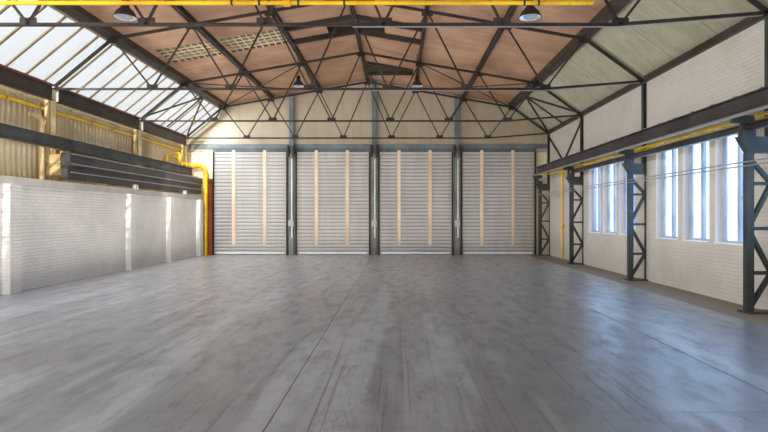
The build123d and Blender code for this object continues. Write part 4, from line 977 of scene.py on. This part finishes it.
# Right side: upper posts at each line, two flanges and a web each, and the yellow pipe between the crane girder
# and the lower beam
rightSet = {"post": (7.785, 7.87), "half": 0.065, "flange": 0.012, "heights": (3.24, 5.38),
            "pipe": (7.56, 3.60), "radius": 0.033, "ends": (-13.9, 13.9)}


def makeRightParts(spec):
    near, far = spec["post"]
    half, flange, heights = spec["half"], spec["flange"], spec["heights"]
    boxes = [((near, near + flange), half, heights), ((near + flange, far - flange), flange / 2, heights),
             ((far - flange, far), half, heights)]
    addPiece("upper_posts", lineBoxes(boxes), "steelGreen", ["right_upper_columns"])
    x, z = spec["pipe"]
    ends = [(x, y, z) for y in spec["ends"]]
    addPiece("side_pipe", tubePatch(ends, spec["radius"], 0, 14), "yellowPaint", smooth=True)


makeRightParts(rightSet)

# Haunches and posts at each line, as outlines in x and z carried across y, and boxes given as x, half of y, z:
# on the right a haunch with a seat, a plate below the girder and a stem between them,
# on the left two stepped boxes below a hollow post
haunchSet = {
    "right": [(7.43, 2.95), (7.87, 2.95), (7.87, 3.24), (7.257, 3.24)], "half": 0.07,
    "rightBoxes": [((7.32, 7.56), 0.06, (3.24, 3.36)), ((7.17, 7.54), 0.05, (3.48, 3.61)),
                   ((7.32, 7.40), 0.03, (3.36, 3.48))],
    "left": [(-8.02, 2.93), (-7.53, 2.93), (-7.39, 3.19), (-8.02, 3.19)],
    "leftBoxes": [((-8.02, -7.60), 0.08, (3.24, 3.476)), ((-8.02, -7.38), 0.09, (3.19, 3.21)),
                  ((-7.95, -7.65), 0.05, (3.21, 3.24)), ((-7.62, -7.38), 0.06, (3.476, 3.57))],
    "postBoxes": [((-8.01, -7.89), 0.09, (3.476, 5.17)), ((-7.89, -7.855), 0.03, (3.476, 5.17)),
                  ((-7.855, -7.82), 0.09, (3.476, 5.17)), ((-8.015, -7.80), 0.10, (5.17, 5.19))],
}


def makeHaunches(spec):
    ends = [[(0, y + side * spec["half"], 0) for y in lines] for side in (1, -1)]
    for name, key, material, slot, node in (
            ("haunch_plates", "right", "steelGreen", "steel_green", "right_brackets"),
            ("stepped_brackets", "left", "steelCream", "steel_cream", "left_brackets")):
        patches = [barPatch(spec[key], *ends), lineBoxes(spec[key + "Boxes"])]
        addPiece(name, joinPatches(patches), material, [node])
    addPiece("hollow_posts", lineBoxes(spec["postBoxes"]), "steelCream", ["left_posts"])


makeHaunches(haunchSet)

# Shutters: pale bottom rails, pale conduits up the columns between the doors, and the motors, whose shape is a
# profile of radius and height turned about an upright axis
doorSet = {"half": 1.48, "rail": (0.19, 0.27), "faces": (14.685, 14.702), "columns": (-3.34, 0.285, 3.91),
           "columnFace": 14.60, "conduit": 0.018, "conduitShift": 0.03, "conduitDepth": 0.03,
           "conduitHeights": (0.9, 4.35), "motorPlace": (0.12, 14.51, 4.41),
           "motor": [(0.035, 0.0), (0.045, 0.12), (0.075, 0.20), (0.075, 0.38), (0.05, 0.42), (0.06, 0.47),
                     (0.04, 0.52)]}


def makeDoorParts(spec):
    (bottom, top), (near, far), half = spec["rail"], spec["faces"], spec["half"]
    addPiece("bottom_rails", boxPatch([(x - half, near, bottom) for x in doorMiddles],
                                      [(x + half, far, top) for x in doorMiddles]), "plasterWhite")
    size, face, (bottom, top) = spec["conduit"], spec["columnFace"], spec["conduitHeights"]
    middles = [x + spec["conduitShift"] for x in spec["columns"]]
    addPiece("column_conduits", boxPatch([(x - size, face - spec["conduitDepth"], bottom) for x in middles],
                                         [(x + size, face, top) for x in middles]), "plasterWhite")
    reach, depth, height = spec["motorPlace"]
    motors = [lathePatch(spec["motor"], (x + side * reach, end * depth, height), 16)
              for x in spec["columns"] for side in (-1, 1) for end in (-1, 1)]
    addPiece("shutter_motors", joinPatches(motors), "steelDark", ["shutter_drives"], smooth=True)


makeDoorParts(doorSet)
print("left, right and door parts done")

# Ground outside the hall, just below its underside
tree, inputs = newMaterial("ground", Roughness=0.9)
patches = useGroup(tree, "patches", Scale=0.2, Low=0.3, High=0.7)
tree.links.new(mixColour(tree, patches["Mask"], (*groundSet["tint"], 1), (*groundSet["patches"], 1)),
               inputs["Base Color"])
groundMesh = bpy.data.meshes.new("ground")
half = groundSet["half"]
groundMesh.from_pydata([(-half, -half, -0.01), (half, -half, -0.01), (half, half, -0.01),
                        (-half, half, -0.01)], [], [(0, 1, 2, 3)])
groundMesh.materials.append(bpy.data.materials["ground"])
ground = bpy.data.objects.new("ground", groundMesh)
scene.collection.objects.link(ground)
